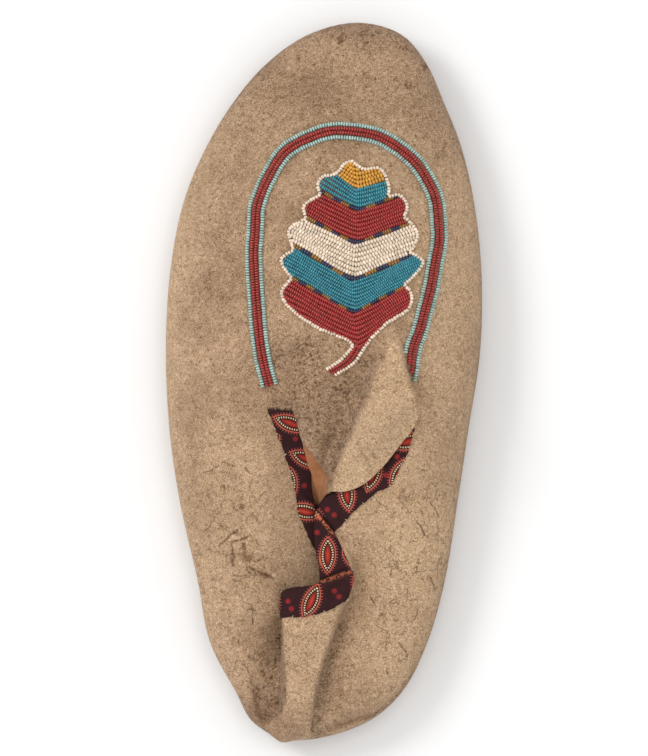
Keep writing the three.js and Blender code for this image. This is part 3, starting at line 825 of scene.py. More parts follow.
# %% [markdown]
# The U-shaped band has four lanes, light blue outside and brick red inside. Where the tongue's fold comes
# down over its medial leg, the covered beads are left out.

# %% Band
BAND_LINE = [
    (-20.3, -1.7), (-24, 15.6), (-25.9, 43.7), (-25.7, 56.1), (-24.4, 67), (-17.6, 82), (-11.3, 88.1),
    (-1.5, 92.6), (8.6, 93.7), (18.4, 92), (26.7, 88.2), (34.5, 81.1), (39.2, 74.2), (42.1, 65.3),
    (42.8, 56.5), (42.1, 47.5), (40.2, 38.1), (37.9, 27.2), (35.3, 18.6), (33.2, 11.8), (31, -0.6),
]
LANES = [(2.5, "light blue"), (0.78, "brick"), (-0.78, "brick"), (-2.5, "light blue")]
LANE_PITCH, LANE_WIDTH = 0.98, 1.66


def offset_line(line, away):
    way = np.gradient(line, axis=0)
    way /= np.linalg.norm(way, axis=1, keepdims=True)
    return line + away * np.stack([-way[:, 1], way[:, 0]], -1)


def band_beads():
    beads = []
    centre = bend_through(BAND_LINE, closed=False)
    step = np.arange(len(centre))
    for away, colour in LANES:
        waver = 0.16 * np.sin(step * 0.15) + 0.05 * np.sin(step * 0.4 + away)
        points, headings = paced(offset_line(centre, (away + waver)[:, None]), LANE_PITCH)
        for (x, y), heading in zip(points, headings):
            fold_edge, down = beside(TONGUE_FOLD_EDGE, x, y)
            under_fold = x > 20 and y < 24 and fold_edge > -0.5 - fold_lean(down)
            if not under_fold:
                width = LANE_WIDTH * dice.uniform(0.9, 1.08)
                beads.append((x, y, heading, LANE_PITCH * 0.84, width, colour))
    return beads


bead_band = lay_beads("bead_band", band_beads(), "bead_band")

# %% [markdown]
# The leaf has a scalloped outline of ivory beads. Its filling lies in chevron rows that meet on the spine,
# so a row is started at the spine and strung outwards on both sides until it reaches the outline.

# %% Leaf outline
LATERAL_LOBES = [
    [(10, 82.4), (7.7, 81.3), (6, 79)],
    [(6, 79), (3.8, 77.2), (0.4, 76.8), (-1.7, 75.1), (-2.2, 72.6), (-1.2, 69.8)],
    [(-1.2, 69.8), (-5.5, 67.4), (-7.6, 65), (-7.3, 63.3), (-6.6, 60.8)],
    [(-6.6, 60.8), (-11.1, 58.4), (-13.1, 55.9), (-12.4, 52.8), (-11.3, 49)],
    [(-11.3, 49), (-15.8, 45.7), (-15.2, 43.2), (-11.9, 38.6)],
    [(-11.9, 38.6), (-15.6, 33.8), (-15.2, 30.9), (-12.2, 27.1), (-2.2, 20.1), (9.3, 15.2), (10.9, 13.3)],
]
MEDIAL_LOBES = [
    [(10, 82.4), (15.2, 79.2), (20.8, 79.6), (23.2, 76.1)],
    [(23.2, 76.1), (24.2, 72.3), (23.9, 69.2)],
    [(23.9, 69.2), (28, 69.5), (30.5, 66.8), (30.8, 64.4), (29.6, 61.5)],
    [(29.6, 61.5), (32.6, 58.8), (34.7, 55), (33.3, 50.4), (31.7, 48.3)],
    [(31.7, 48.3), (35, 46.4), (36.8, 44.8), (33.5, 39.8), (29.7, 36.2)],
    [(29.7, 36.2), (32, 33.5), (32.6, 30.9), (31.2, 27.1), (22.3, 20.8), (16, 14.1), (14.2, 11.2)],
]
STEM_SIDES = [[(10.9, 13.3), (7.5, 9.3), (0.8, 4.3)], [(14.2, 11.2), (11.2, 7.1), (3.8, 2.3)]]
STEM_LANES = [[(12.4, 14), (9, 8.9), (1.6, 3.7)], [(13.2, 13), (10, 8.1), (2.7, 2.9)]]
OUTLINE_PITCH, OUTLINE_WIDTH = 1.12, 1.5
STEM_PITCH, STEM_BEAD = 0.86, (0.84, 1.2)


def lobe_edge(lobes):
    return np.vstack([bend_through(lobe, closed=False) for lobe in lobes])


leaf_edge = np.vstack([lobe_edge(LATERAL_LOBES), lobe_edge(MEDIAL_LOBES)[::-1]])
print("leaf", np.ptp(leaf_edge, axis=0).round(1), "mm")


def inside_leaf(x, y):
    """Counts the outline's crossings of a level line from the point: odd is inside."""
    a, b = leaf_edge, np.roll(leaf_edge, -1, axis=0)
    spans = (a[:, 1] > y) != (b[:, 1] > y)
    with np.errstate(divide="ignore", invalid="ignore"):
        crossing = a[:, 0] + (y - a[:, 1]) / (b[:, 1] - a[:, 1]) * (b[:, 0] - a[:, 0])
    return bool(np.count_nonzero(spans & (crossing > x)) % 2)

# %% [markdown]
# The leaf's colours follow each other down the spine. From one colour's end to the next the spine's place
# and the rows' climb change evenly, and most colours end in one row of navy and amber beads by fours.

# %% Leaf rows
# Colour, rows, the row's place on the spine at the end of the colour, its climb to each side, bead pitch.
LEAF_START = (11, 84.5, 0.8, 0.3)
LEAF_COLOURS = [
    ("gold", 8, 12.4, 72.1, 0.82, 0.32, 1.12),
    ("teal", 6, 12.4, 63.6, 0.54, 0.36, 0.84),
    ("brick", 8, 12, 51.3, 0.53, 0.38, 0.84),
    ("ivory", 8, 10.9, 37.5, 0.61, 0.44, 1.12),
    ("teal", 9, 11.3, 25.5, 0.585, 0.56, 0.84),
    ("brick", 9, 12.6, 10.5, 0.5, 0.75, 0.84),
]
DIVIDED = {1, 2, 3, 4}  # colours that end in a row of navy and amber
CLEAR_OF_OUTLINE = 0.85
ROUNDING = 1.6  # how softly a row turns at the spine
ROW_SWAY = 0.2


def chevron(spine, side, climb, along):
    """A place along a row that leaves the spine gently and then climbs."""
    rise = climb * (math.hypot(along, ROUNDING) - ROUNDING)
    return spine[0] + side * along / math.hypot(1, climb), spine[1] + rise / math.hypot(1, climb)


def row_length(spine, side, climb):
    along = 0.0
    while along < 60 and inside_leaf(*chevron(spine, side, climb, along)):
        along += 0.1
    return along - CLEAR_OF_OUTLINE


def outline_beads():
    beads = []
    for lobe in LATERAL_LOBES + MEDIAL_LOBES + STEM_SIDES:
        points, headings = paced(bend_through(lobe, closed=False), OUTLINE_PITCH)
        for (x, y), heading in zip(points, headings):
            loose = heading + dice.normal(0, 0.16)
            y = y + dice.normal(0, 0.1)
            beads.append((x, y, loose, OUTLINE_PITCH * 0.95, OUTLINE_WIDTH, "ivory"))
    return beads


def stem_beads():
    beads = []
    for lane in STEM_LANES:
        points, headings = paced(bend_through(lane, closed=False), STEM_PITCH)
        beads += [(x, y, heading, *STEM_BEAD, "brick") for (x, y), heading in zip(points, headings)]
    return beads


def strung(row, spine, side, climb, pitch, width, colours):
    """The beads of half a row, from the spine out to the outline, in two colours by fours."""
    beads = []
    length = row_length(spine, side, climb)
    count = int(length / pitch)
    for k in range(count):
        along = (k + 0.5) * length / count
        x, y = chevron(spine, side, climb, along)
        ahead = chevron(spine, side, climb, along + 0.1)
        heading = math.atan2(ahead[1] - y, ahead[0] - x)
        sway = ROW_SWAY * math.sin(0.3 * along + 0.5 * row + side)
        beads.append((x, y + sway, heading, length / count * 0.9, width, colours[(k // 4) % 2]))
    return beads


def filling_beads():
    beads = []
    start = np.array(LEAF_START)
    for band, (colour, count, *end, pitch) in enumerate(LEAF_COLOURS):
        end = np.array(end)
        for row in range(count):
            x, y, left, right = start + (end - start) * ((row + 0.5) / count)
            divider = band in DIVIDED and row == count - 1
            colours = ("navy", "amber") if divider else (colour, colour)
            for side, climb in ((-1, left), (1, right)):
                width = min((start[1] - end[1]) / count / math.hypot(1, climb) * 1.17, 1.8)
                beads += strung(row, (x, y), side, climb, pitch, width, colours)
        start = end
    return beads


bead_leaf = lay_beads("bead_leaf", outline_beads() + stem_beads() + filling_beads(), "bead_leaf")

# %% [markdown]
# The binding is sewn down with pale thread. Only short stitches show along its edge, and its cut end has
# frayed into a few loose threads. Both are laid as beads are: a thread is a long thin bead.

# %% Threads
STITCH_GAP = 11
STITCH_WIDTH, FRAYED_WIDTH, THREAD_HEIGHT = 0.36, 0.3, 0.9
STITCHED_ROWS = [(5.6, 9.6), (17.4, 28.3)]
FRAYED_END = [(-20.2, -10.6), (-11.8, -11.2)]


def sewn_edge(t):
    """The binding's sewn edge on the outside, and the way across it, in plan."""
    u = (t - LATERAL_THROAT) / (MEDIAL_THROAT - LATERAL_THROAT)
    edge, inner = binding_skin(u, np.zeros_like(u)), binding_skin(u, np.full_like(u, 0.04))
    return edge[:, :2], np.arctan2(*(edge - inner)[:, [1, 0]].T)


def thread_bits():
    bits = []
    for first, last in STITCHED_ROWS:
        edge, across = sewn_edge(np.linspace(first, last, 400))
        along = np.r_[0, np.cumsum(np.linalg.norm(np.diff(edge, axis=0), axis=1))]
        for at in np.arange(2, along[-1], STITCH_GAP):
            k = int(np.searchsorted(along, at + dice.normal(0, 0.6)).clip(0, 399))
            lean = across[k] + dice.normal(0, 0.35)
            bits.append((*edge[k], lean, dice.uniform(0.7, 1.4), STITCH_WIDTH, "thread"))
    for share in np.linspace(0, 1, 15):
        x, y = np.array(FRAYED_END[0]) * (1 - share) + np.array(FRAYED_END[1]) * share
        y += dice.uniform(0, 0.5)
        lean = 1.6 + dice.normal(0, 0.4)
        bits.append((x, y, lean, dice.uniform(1, 2), FRAYED_WIDTH, "frayed"))
    return bits


threads = lay_beads("binding_threads", thread_bits(), None, THREAD_HEIGHT)

# %% [markdown]
# ## Finishes
# A finish is a small graph of nodes. Most of it is noise, but a few marks on the hide can be pointed at, so
# they are listed one by one: each is a short straight line that the nodes measure the distance to.

# %% Listed marks
# Each crack or scuff in the hide: its two ends in plan and its width.
CRACKS = [
    (-45, -34.4, -42, -33.6, 0.6), (-42, -33.6, -39.4, -31, 0.6), (-37.5, -30.2, -33.4, -31.7, 0.6),
    (-29.7, -32.1, -27.8, -34.4, 0.8), (-37.6, -39.2, -37.2, -41, 1.5), (-27.8, -38.9, -26.7, -43, 0.5),
    (-24, -44.5, -22.2, -41.5, 0.6), (-26.7, -50.1, -25.2, -52.4, 1), (-39, -61.4, -32.7, -55.8, 1.1),
    (-34.5, -60.6, -28.5, -58.4, 1.4), (-34.5, -60.6, -34.2, -69, 1.6), (-33.8, -73, -28.2, -73, 0.6),
    (-27.8, -69.7, -18.8, -73.4, 1.5), (-27, -83.9, -26.7, -91.4, 0.7), (36.4, -48.3, 37.2, -50.1, 0.9),
    (34.5, -52.4, 37.9, -56.9, 1), (30, -71.5, 30.8, -72.6, 1), (25.5, -70.8, 24.8, -73, 0.8),
    (18, -80.9, 19.2, -84.3, 0.9), (21.8, -86.6, 23.7, -92.2, 0.6), (33, -90.3, 35.3, -85, 0.8),
    (39.8, -72.7, 42, -78.3, 0.7), (40, -45, 43, -51, 0.6), (28, -98, 31, -103, 0.7),
]
print(len(CRACKS), "cracks")

# %% [markdown]
# The helper below keeps each line of a recipe short: a value that is a socket is linked, and anything else
# is set on the input. Sizes of noise are given in millimetres.

# %% A helper for recipes
class Finish:
    def __init__(self, name):
        self.material = bpy.data.materials.new(name)
        self.material.use_nodes = True
        self.tree = self.material.node_tree
        self.shader = self.tree.nodes["Principled BSDF"]
        self.place = self.add("TexCoord").outputs["Object"]

    def add(self, kind, values=None, **settings):
        node = self.tree.nodes.new("ShaderNode" + kind)
        for name, value in settings.items():
            setattr(node, name, value)
        self.give(node, values or {})
        return node

    def give(self, node, values):
        for key, value in values.items():
            if isinstance(value, bpy.types.NodeSocket):
                self.tree.links.new(value, node.inputs[key])
            else:
                node.inputs[key].default_value = value

    def maths(self, kind, a, b=0.0, clamp=False):
        return self.add("Math", {0: a, 1: b}, operation=kind, use_clamp=clamp).outputs[0]

    def times(self, a, b):
        return self.maths("MULTIPLY", a, b)

    def plus(self, a, b, clamp=False):
        return self.maths("ADD", a, b, clamp)

    def less(self, a, b):
        return self.maths("SUBTRACT", a, b)

    def vector(self, kind, a, b=(0, 0, 0), out="Vector"):
        return self.add("VectorMath", {0: a, 1: b}, operation=kind).outputs[out]

    def scaled(self, a, amount):
        return self.add("VectorMath", {0: a, "Scale": amount}, operation="SCALE").outputs[0]

    def noise(self, size, detail=3, roughness=0.55, curl=0.0):
        """Soft noise with features of a size in millimetres, from 0 to 1."""
        values = {"Vector": self.place, "Scale": 1 / (size * MM), "Detail": detail}
        return self.add("TexNoise", values | {"Roughness": roughness, "Distortion": curl}).outputs["Fac"]

    def ramp(self, value, low, high, to_low=0.0, to_high=1.0):
        values = {"Value": value, "From Min": low, "From Max": high, "To Min": to_low, "To Max": to_high}
        return self.add("MapRange", values, interpolation_type="SMOOTHSTEP").outputs[0]

    def mix(self, amount, a, b, kind="MIX"):
        return self.add("Mix", {0: amount, 6: a, 7: b}, data_type="RGBA", blend_type=kind).outputs[2]

    def number(self, name):
        return self.add("Attribute", attribute_name=name).outputs["Fac"]

    def cracks(self, place):
        """Short listed marks, 1 on a mark and 0 off it, seen from above."""
        flat = self.vector("MULTIPLY", place, (1, 1, 0))
        marked = 0.0
        for x0, y0, x1, y1, width in CRACKS:
            start, way = Vector((x0, y0, 0)) * MM, Vector((x1 - x0, y1 - y0, 0)) * MM
            away = self.vector("SUBTRACT", flat, start)
            along = self.vector("DOT_PRODUCT", away, way / way.length_squared, "Value")
            foot = self.scaled(way, self.maths("MULTIPLY", along, 1.0, clamp=True))
            gap = self.vector("DISTANCE", away, foot, "Value")
            mark_here = self.ramp(gap, width * 0.1 * MM, width * 0.6 * MM, 1, 0)
            marked = self.maths("MAXIMUM", marked, mark_here)
        return marked

    def bump(self, height, distance, strength=1.0):
        values = {"Height": height, "Distance": distance * MM, "Strength": strength}
        self.give(self.shader, {"Normal": self.add("Bump", values).outputs[0]})

# %% [markdown]
# Smoked hide is never one colour. Clouds a few centimetres wide lie under mottles of a few millimetres,
# and the nap shows as a grain finer than a millimetre. Thin branching scratches come from the borders of
# large cells, kept only in patches. Soil with painted shade, and wear with painted light, are numbers stored
# on the mesh.

# %% Hide
CLEAN_AND_LIT_HIDE, STAIN, CRACK = linear(211, 180, 143), linear(112, 72, 48), linear(98, 66, 44)
# Tones of the bare inner face, kept dark partly as painted shade for the deep gap where it shows.
BARE_HIDE = (linear(186, 128, 88), linear(168, 110, 71))
NAP_TIPS = ((0.52, 0.44, 0.35, 1), (1.34, 1.37, 1.44, 1))  # tints of the nap's dark and light tips
PORES = ((0.74, 0.68, 0.6, 1), (1.02, 1.02, 1.02, 1))


def hide_finish(name, pale, dark, soil_and_shade, nap_depth=0.5):
    f = Finish(name)
    clouds, mottle = f.noise(30, 3), f.noise(5, 4, 0.65)
    nap, specks = f.noise(0.8, 4, 0.78, curl=2.2), f.noise(1.6, 3, 0.7, curl=1)
    patch = f.plus(f.times(clouds, 0.6), f.times(mottle, 0.4))
    colour = f.mix(f.ramp(patch, 0.38, 0.64), pale, dark)
    # Cleaner hide, with painted light on the lateral low wall and on the pale places, from the numbers on
    # the mesh.
    colour = f.mix(f.times(f.number("clean_and_lit"), 0.85), colour, CLEAN_AND_LIT_HIDE)

    wander = f.add("TexNoise", {"Vector": f.place, "Scale": 180, "Detail": 3}).outputs["Color"]
    shift = f.scaled(f.vector("SUBTRACT", wander, (0.5, 0.5, 0.5)), 0.01)
    bent = {"Vector": f.vector("ADD", f.place, shift), "Scale": 95}
    borders = f.add("TexVoronoi", bent, feature="DISTANCE_TO_EDGE").outputs["Distance"]
    broken = f.times(f.ramp(f.noise(5, 2), 0.47, 0.55), f.number("scratched"))
    scratch = f.times(f.ramp(borders, 0.006, 0.035, 1, 0), broken)
    colour = f.mix(f.times(scratch, 0.45), colour, soil_and_shade)

    patchiness = f.times(f.ramp(mottle, 0.36, 0.6, 1, 0.55), f.ramp(specks, 0.36, 0.6, 1, 0.4))
    # Soil with painted shade in hollows, creases and under the beads, from the numbers on the mesh.
    colour = f.mix(f.times(f.number("soil_and_shade"), patchiness), colour, soil_and_shade)
    ragged = f.plus(f.number("stained"), f.noise(1.8, 4, 0.75, curl=1.5))
    colour = f.mix(f.ramp(ragged, 1.04, 1.18, 0, 0.75), colour, STAIN)
    near = f.vector("ADD", f.place, f.scaled(shift, 0.3))
    cracked = f.times(f.cracks(near), f.ramp(specks, 0.38, 0.58, 0.15, 0.85))
    colour = f.mix(cracked, colour, CRACK)

    pit = f.add("TexVoronoi", {"Vector": f.place, "Scale": 480}).outputs["Distance"]
    where = f.plus(f.ramp(f.noise(4, 2), 0.44, 0.58), f.number("pitted"), clamp=True)
    pitted = f.times(f.ramp(pit, 0.12, 0.3, 1, 0), where)
    fuzzy = f.less(1.0, f.times(f.number("clean_and_lit"), 0.55))
    colour = f.mix(f.times(f.times(pitted, fuzzy), 0.55), colour, soil_and_shade)

    tips = f.mix(f.ramp(nap, 0.4, 0.6), *NAP_TIPS)
    pores = f.mix(f.ramp(specks, 0.32, 0.5), *PORES)
    toned = f.vector("MULTIPLY", colour, f.vector("MULTIPLY", tips, pores))
    smooth = f.mix(f.ramp(mottle, 0.3, 0.7), *BARE_HIDE)
    toned = f.mix(f.number("bare"), toned, smooth)
    f.give(f.shader, {"Base Color": toned, "Roughness": f.ramp(nap, 0.3, 0.7, 0.97, 0.84)})
    f.give(f.shader, {"Specular IOR Level": 0.2, "Sheen Weight": 0.08, "Sheen Roughness": 0.5})
    height = f.plus(f.times(nap, 1.2), f.times(mottle, 1.5))
    for dent in (scratch, f.times(pitted, 0.6), cracked):
        height = f.less(height, dent)
    f.bump(height, nap_depth, 0.7)
    return f.material


# Each set: the hide's pale and dark tones, and the dark tone for soil, painted shade, scratches and pits.
SMOKED = linear(194, 163, 131), linear(163, 133, 105), linear(94, 68, 46)
TAN = linear(204, 142, 98), linear(178, 118, 76), linear(120, 76, 46)
outside_hide = hide_finish("smoked_hide", *SMOKED)
inside_hide = hide_finish("inner_hide", *TAN, 0.25)
print("the hide's recipe has", len(outside_hide.node_tree.nodes), "nodes")

for piece in (upper, tongue, sole):
    piece.data.materials.append(outside_hide)
    piece.data.materials.append(inside_hide)

# %% [markdown]
# Soil darkens the hide, and painted shade darkens the hollows, the sides of folds, the creases and seams
# and the hide under and between the beads. High places are rubbed clean, and painted light makes the
# lateral low wall and a few places on the quarters and the medial side paler. Each vertex stores how much
# of each there is, worked out from its distance to the lines of the folds and from a few listed blots.

# %% Places of soil, wear, painted shade and painted light
# Middle, reach each way and strength of each darkened place: dirt on the toe, vamp and quarters,
# dirt and painted shade in the heel's lateral hollow, and painted shade in the pinch at the fold's top.
SOILED_AND_SHADED = [
    (-26, -67, 9, 7, 0.35),
    (-38, 58, 4, 9, 0.4),
    (43, 83, 4, 4, 0.5),
    (15, 131, 28, 7, 0.7),
    (10, 108, 44, 24, 0.35),
    (-38, 60, 16, 50, 0.2),
    (-20, 104, 22, 14, 0.3),
    (-19, -106, 5, 14, 0.5),
    (-24, -120, 5, 8, 0.5),
    (22.3, 9.2, 1.5, 2.6, 0.5),
]
# Paler places of the hide, with painted light on the medial side and heel, which the lamp on the left leaves
# dim.
PALE_AND_LIT = [(48, 36, 12, 60, 0.6), (32, -62, 22, 34, 0.9), (24, -108, 13, 16, 0.85), (-34, -52, 20, 36, 0.55)]

# Small dark stains, which the material gives a ragged edge.
STAINED = [
    (6, 128, 4, 3, 0.8), (15, 115, 3.4, 3.4, 0.7), (19, 122.5, 4.4, 3, 0.62), (30, 125, 3.8, 3, 0.75),
    (31.5, 111, 3.2, 4, 0.75), (-8.4, 121, 4, 3, 0.7), (-4, 111, 5, 4, 0.55), (38, 118, 3, 5, 0.75),
    (-27, -66.5, 7, 3, 0.68), (-22, -72.4, 4.6, 2.2, 0.74), (-30, -61, 2.2, 4, 0.68),
    (-31, -47, 1.6, 2, 0.85), (43, 83, 2.6, 2.6, 0.6), (-36, 64, 2, 3, 0.45), (22, -62, 4, 1.6, 0.5),
    (18.6, -80.4, 1.2, 2.4, 0.55),
]
# Dirt and painted shade in the hollow on the lateral side of the tongue's crest.
HOLLOW_SOIL_AND_SHADE = [(-12, 8, 13, 9, 0.95), (2, 15, 16, 6, 0.5), (-6, -13, 12, 11, 0.9), (5, -24, 7, 13, 0.9)]
HOLLOW_SOIL_AND_SHADE += [(6, -4, 16, 10, 0.9), (2, -34, 6, 9, 0.9), (13, 9, 4, 8, 0.5)]


def blots(places, x, y):
    total = np.zeros(len(x))
    for at_x, at_y, reach_x, reach_y, strength in places:
        total += strength * bell(x, reach_x, at_x) * bell(y, reach_y, at_y)
    return total


print(len(SOILED_AND_SHADED) + len(HOLLOW_SOIL_AND_SHADE), "soiled places,", len(STAINED), "stains")

# %% Soil, wear, painted shade and painted light
def off(line, x, y):
    return beside(line, x, y)[0]


def soiled_and_shaded(x, y, z):
    crest, fold = off(TONGUE_FOLD_CREST, x, y), off(TONGUE_FOLD_EDGE, x, y)
    flap, valley = off(FLAP_EDGE, x, y), off(FLAP_VALLEY, x, y)
    beside_fold = ease(-24, -18, -y)
    # Listed blots of dirt, and of dirt with painted shade in the hollows beside the crest and the heel flap.
    soil_and_shade = blots(SOILED_AND_SHADED, x, y) + blots(HOLLOW_SOIL_AND_SHADE, x, y) * ease(-0.6, 1.2, crest)
    # Painted shadow on the medial vamp beside the lip of the tongue's fold.
    soil_and_shade += 0.6 * bell(fold, 1.6, -2) * beside_fold * ease(-4, 4, y)
    beyond_fold = 1 - ease(-1.2, 0, fold) * beside_fold * ease(15, 20, x)
    # Painted shade under and between the beads along the band, except where the tongue's fold covers it.
    soil_and_shade += 0.75 * np.exp(-((off(BAND_LINE, x, y) / 2.9) ** 4)) * beyond_fold
    # Painted shade between the beads of the leaf.
    soil_and_shade += 0.9 * np.array([inside_leaf(*place) for place in zip(x, y)]) * (z > 30)
    # Painted shadow of the heel flap on the medial side of its valley, with some dirt.
    soil_and_shade += 0.85 * bell(valley, np.where(valley > 0, 0.8, 5)) * ease(84, 92, -y)
    # Painted shade in the crease of the heel seam.
    soil_and_shade += 0.9 * bell(off(HEEL_SEAM, x, y), 0.8)
    # Painted shade in the tongue's creases.
    soil_and_shade += 0.7 * np.maximum.reduce([bell(off(line, x, y), 0.5) for line in TONGUE_CREASES])
    # Darker low on the wall at the medial side and the toe: painted shade where the wall turns under, with
    # dirt.
    soil_and_shade += 0.85 * ease(-24, -15, -z) * np.maximum(0.8 * ease(20, 40, x), ease(85, 120, y))
    # Painted shade along the lateral side of the tongue's crest.
    soil_and_shade += 0.5 * bell(crest, 2.6, 2.6) * ease(-30, -20, y) * ease(-18, -8, -y)
    # Dirt and painted shade in the hollow beside the heel flap's lateral edge.
    soil_and_shade += 0.9 * bell(flap, 8) * ease(-0.4, 0.6, flap) * ease(88, 98, -y) * ease(-130, -124, y)
    return soil_and_shade.clip(0, 0.95)


def mark_wear_light_and_shade(piece):
    x, y, z = points_of(piece).T
    crest, fold = off(TONGUE_FOLD_CREST, x, y), off(TONGUE_FOLD_EDGE, x, y)
    flap, valley = off(FLAP_EDGE, x, y), off(FLAP_VALLEY, x, y)
    on_flap = ease(-0.5, 1, -flap) * ease(0, 2.5, valley) * ease(80, 88, -y) * ease(-126, -118, y)
    on_fold = ease(0, 1.5, -crest) * ease(-1, 0.5, fold) * ease(-22, -10, -y)
    on_fold = on_fold * (1 - 0.3 * ease(-30, -8, y))
    if piece is not tongue:
        on_fold = on_fold * ease(-12, -4, y)
    # Painted light on the lateral low wall, with rubbed wear.
    worn_and_lit_rim = 0.5 * ease(-34, -16, -z) * ease(10, 40, -x) * ease(-110, -60, y) * ease(-120, -90, -y)
    pale = blots(PALE_AND_LIT, x, y).clip(0, 0.9)
    tucked = ease(0.1, 0.7, off(TUCK, x, y)) * ease(20, 24, -y)
    # The soil numbers hold dirt and painted shade; the clean numbers hold cleaner hide and painted light.
    mark(piece, "soil_and_shade", soiled_and_shaded(x, y, z))
    mark(piece, "stained", blots(STAINED, x, y).clip(0, 1))
    mark(piece, "pitted", on_flap)
    mark(piece, "clean_and_lit", np.maximum.reduce([on_flap * 0.45, on_fold, worn_and_lit_rim, pale]))
    mark(piece, "scratched", 0.15 + 0.85 * ease(20, 50, -y) * ease(15, 25, np.abs(x + 3)))
    mark(piece, "bare", tucked if piece is tongue else np.zeros(len(x)))


for piece in (upper, tongue, sole):
    mark_wear_light_and_shade(piece)
    print(piece.name, "is marked for wear")
for polygon in sole.data.polygons:
    polygon.material_index = int(polygon.normal.z > 0.5)

# %% [markdown]
# The binding's cotton is a small print on a dark ground: almonds with a red heart, a ring of pale dots, an
# orange outline and a fringe of ticks, and red dots in pairs. The almonds are placed one by one. Every face
# belongs to its nearest almond, and its UV map holds the distance along and across that almond.

# %% Print chart
ALMONDS = [
    (-12.5, -15.6, -21), (-6.5, -29, -23), (-13.1, -38.7, 86), (-7.2, -48.7, -12), (8.6, -41.8, 97),
    (1.4, -65, 88), (-4.8, -82.3, 65), (11, -66.2, -50), (13.4, -75.3, 92), (-19.4, -83, 90),
    (18.4, -34.8, 70), (28.6, -34, 58), (31.5, -22.4, 15), (-20.5, -24, 60),
]
DOTS = [(1.3, -48), (3.8, -50), (3.8, -78.3), (5.5, -80.5), (-13.3, -82.3), (-12.1, -85), (-10.9, -21.3)]
DOTS += [(-7.6, -38.9), (-2.4, -56.5), (23.4, -35), (27.4, -28)]


def print_chart(piece):
    almond_layer = piece.data.uv_layers.new(name="almond")
    dot_layer = piece.data.uv_layers.new(name="dot")
    points = points_of(piece)[:, :2]
    almonds, dots = np.array(ALMONDS), np.array(DOTS)
    for polygon in piece.data.polygons:
        middle = points[list(polygon.vertices)].mean(0)
        x, y, turn = almonds[np.argmin(np.hypot(*(almonds[:, :2] - middle).T))]
        dot = dots[np.argmin(np.hypot(*(dots - middle).T))]
        c, s = math.cos(math.radians(turn)), math.sin(math.radians(turn))
        for loop, vertex in zip(polygon.loop_indices, polygon.vertices):
            dx, dy = points[vertex] - (x, y)
            almond_layer.data[loop].uv = (dx * c + dy * s, dy * c - dx * s)
            dot_layer.data[loop].uv = points[vertex] - dot


def mark_laps(piece):
    """The bright turned edge on the upper side of each lap, and a painted shadow beneath it."""
    points = points_of(piece)
    away = [beside(line, points[:, 0], points[:, 1])[0] for line in BINDING_LAPS]
    mark(piece, "lap_edge", np.max([bell(d, 0.45, 0.45) for d in away], axis=0))
    mark(piece, "lap_shade", np.max([bell(d, 0.7, -0.7) for d in away], axis=0))


print_chart(binding)
mark_laps(binding)
print(len(ALMONDS), "almonds and", len(DOTS), "dots")

# %% [markdown]
# An almond is where two equal circles overlap, so the distance past one circle tells how far a place lies
# outside its outline, and the angle on that circle counts the ticks and dots. The colours are laid one on
# another like the blocks of a print, and the weave of the cloth is laid over them.

# %% Calico
ALMOND_LENGTH, ALMOND_WIDTH = 13.6, 5.8  # along and across the orange outline


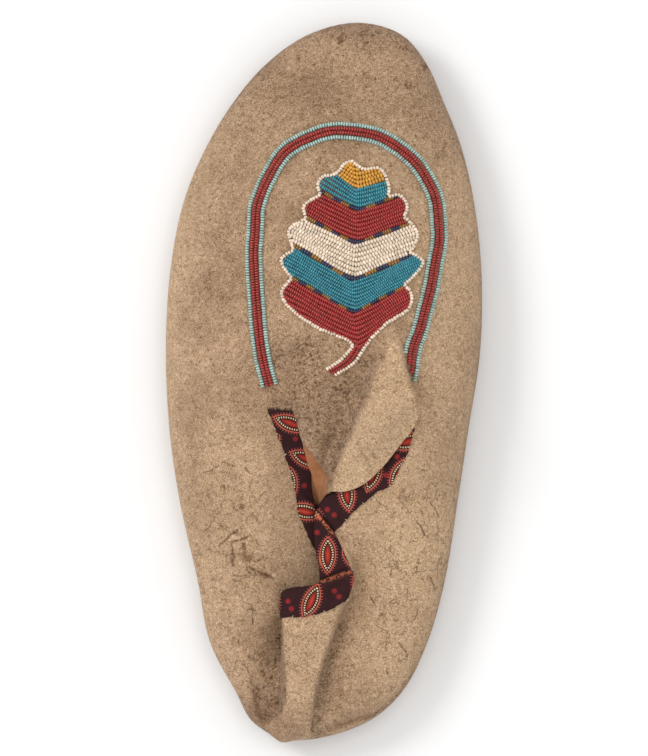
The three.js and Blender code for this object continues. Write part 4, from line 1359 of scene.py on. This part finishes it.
def calico_finish():
    f = Finish("calico_print")
    chart = f.add("SeparateXYZ", {0: f.add("UVMap", uv_map="almond").outputs[0]})
    radius = (ALMOND_LENGTH**2 + ALMOND_WIDTH**2) / (4 * ALMOND_WIDTH)
    along = chart.outputs["X"]
    across = f.plus(f.maths("ABSOLUTE", chart.outputs["Y"]), radius - ALMOND_WIDTH / 2)
    from_centre = f.add("CombineXYZ", {0: along, 1: across}).outputs[0]
    outside = f.less(f.vector("LENGTH", from_centre, out="Value"), radius)
    beat = f.maths("PINGPONG", f.times(f.maths("ARCTAN2", across, along), radius), 0.5)
    dot = f.vector("LENGTH", f.add("UVMap", uv_map="dot").outputs[0], out="Value")

    def within(low, high):
        return f.ramp(outside, low, high, 1, 0)

    def between(low, high, soft=0.12):
        return f.times(f.ramp(outside, low - soft, low + soft), within(high - soft, high + soft))

    lap_edge = f.times(f.number("lap_edge"), f.ramp(f.noise(1.1, 2), 0.4, 0.52))
    layers = [
        (f.ramp(dot, 0.5, 1.35, 0.85, 0), (138, 40, 42)),  # dots
        (f.times(between(0.2, 0.95), f.ramp(beat, 0.3, 0.42)), (168, 80, 70)),  # ticks
        (within(-0.35, -0.2), (50, 24, 20)),  # ground of the almond
        (between(-0.22, 0.22), (180, 88, 72)),  # outline
        (f.times(between(-1.25, -0.65), f.ramp(beat, 0.2, 0.32)), (222, 196, 160)),  # ring of pale dots
        (within(-1.9, -1.6), (140, 42, 36)),  # heart
        (within(-2.7, -2.2), (172, 60, 44)),  # middle of the heart
        (lap_edge, (196, 110, 76)),
        # painted shadow beneath each lap
        (f.times(f.number("lap_shade"), 0.8), (20, 10, 11)),
    ]
    colour = f.mix(f.noise(5, 3), linear(38, 20, 21), linear(60, 32, 33))
    for amount, shade in layers:
        colour = f.mix(amount, colour, linear(*shade))

    weave = {"Vector": f.place, "Scale": 700, "Distortion": 1.5, "Detail": 1}
    warp, weft = (f.add("TexWave", weave, bands_direction=way).outputs["Fac"] for way in "XY")
    yarn = f.plus(f.times(warp, 0.35), f.times(weft, 0.35))
    cloth = f.plus(yarn, f.times(f.noise(0.7, 3, 0.7), 0.45))
    worn = f.vector("MULTIPLY", colour, f.ramp(cloth, 0.25, 0.85, 0.5, 1.45))
    f.give(f.shader, {"Base Color": worn, "Roughness": f.ramp(cloth, 0, 1, 0.8, 0.95)})
    f.give(f.shader, {"Specular IOR Level": 0.15})
    f.bump(cloth, 0.15, 0.5)
    return f.material


binding.data.materials.append(calico_finish())

# %% [markdown]
# Glass beads shine a little, and no two of a string match. Each bead carries its own colour on its points,
# and so does each bit of thread, which is fluffy and dull instead.

# %% Bead glass and thread
def own_colour(f, dull):
    """The colour stored on a bead's points, dulled in places."""
    colour = f.add("Attribute", attribute_name="bead_colour").outputs["Color"]
    return f.vector("MULTIPLY", colour, dull)


def bead_finish():
    f = Finish("bead_glass")
    toned = own_colour(f, f.ramp(f.noise(0.8, 2), 0.3, 0.7, 0.86, 1.06))
    f.give(f.shader, {"Base Color": toned, "Roughness": f.ramp(f.noise(3, 2), 0.3, 0.7, 0.16, 0.34)})
    f.give(f.shader, {"Specular IOR Level": 0.55})
    return f.material


def thread_finish():
    f = Finish("cotton_thread")
    fluff = f.noise(0.25, 3, 0.7)
    toned = own_colour(f, f.ramp(fluff, 0.3, 0.7, 0.7, 1.1))
    f.give(f.shader, {"Base Color": toned, "Roughness": f.ramp(fluff, 0.3, 0.7, 0.85, 0.95)})
    f.bump(fluff, 0.1)
    return f.material


bead_glass = bead_finish()
for piece in (bead_band, bead_leaf):
    piece.data.materials.append(bead_glass)
threads.data.materials.append(thread_finish())

# %% [markdown]
# ## Sizes of the sheets
# The tongue is a free flap of hide, and the binding a strip of cotton folded over the collar. The area of
# each, as it lies folded, is printed, and so is the length of the collar's edge.

# %% Sheets
for piece in (binding, tongue):
    print(piece.name, "area", sum(polygon.area for polygon in piece.data.polygons))
print("collar edge", binding_along[-1], "mm")
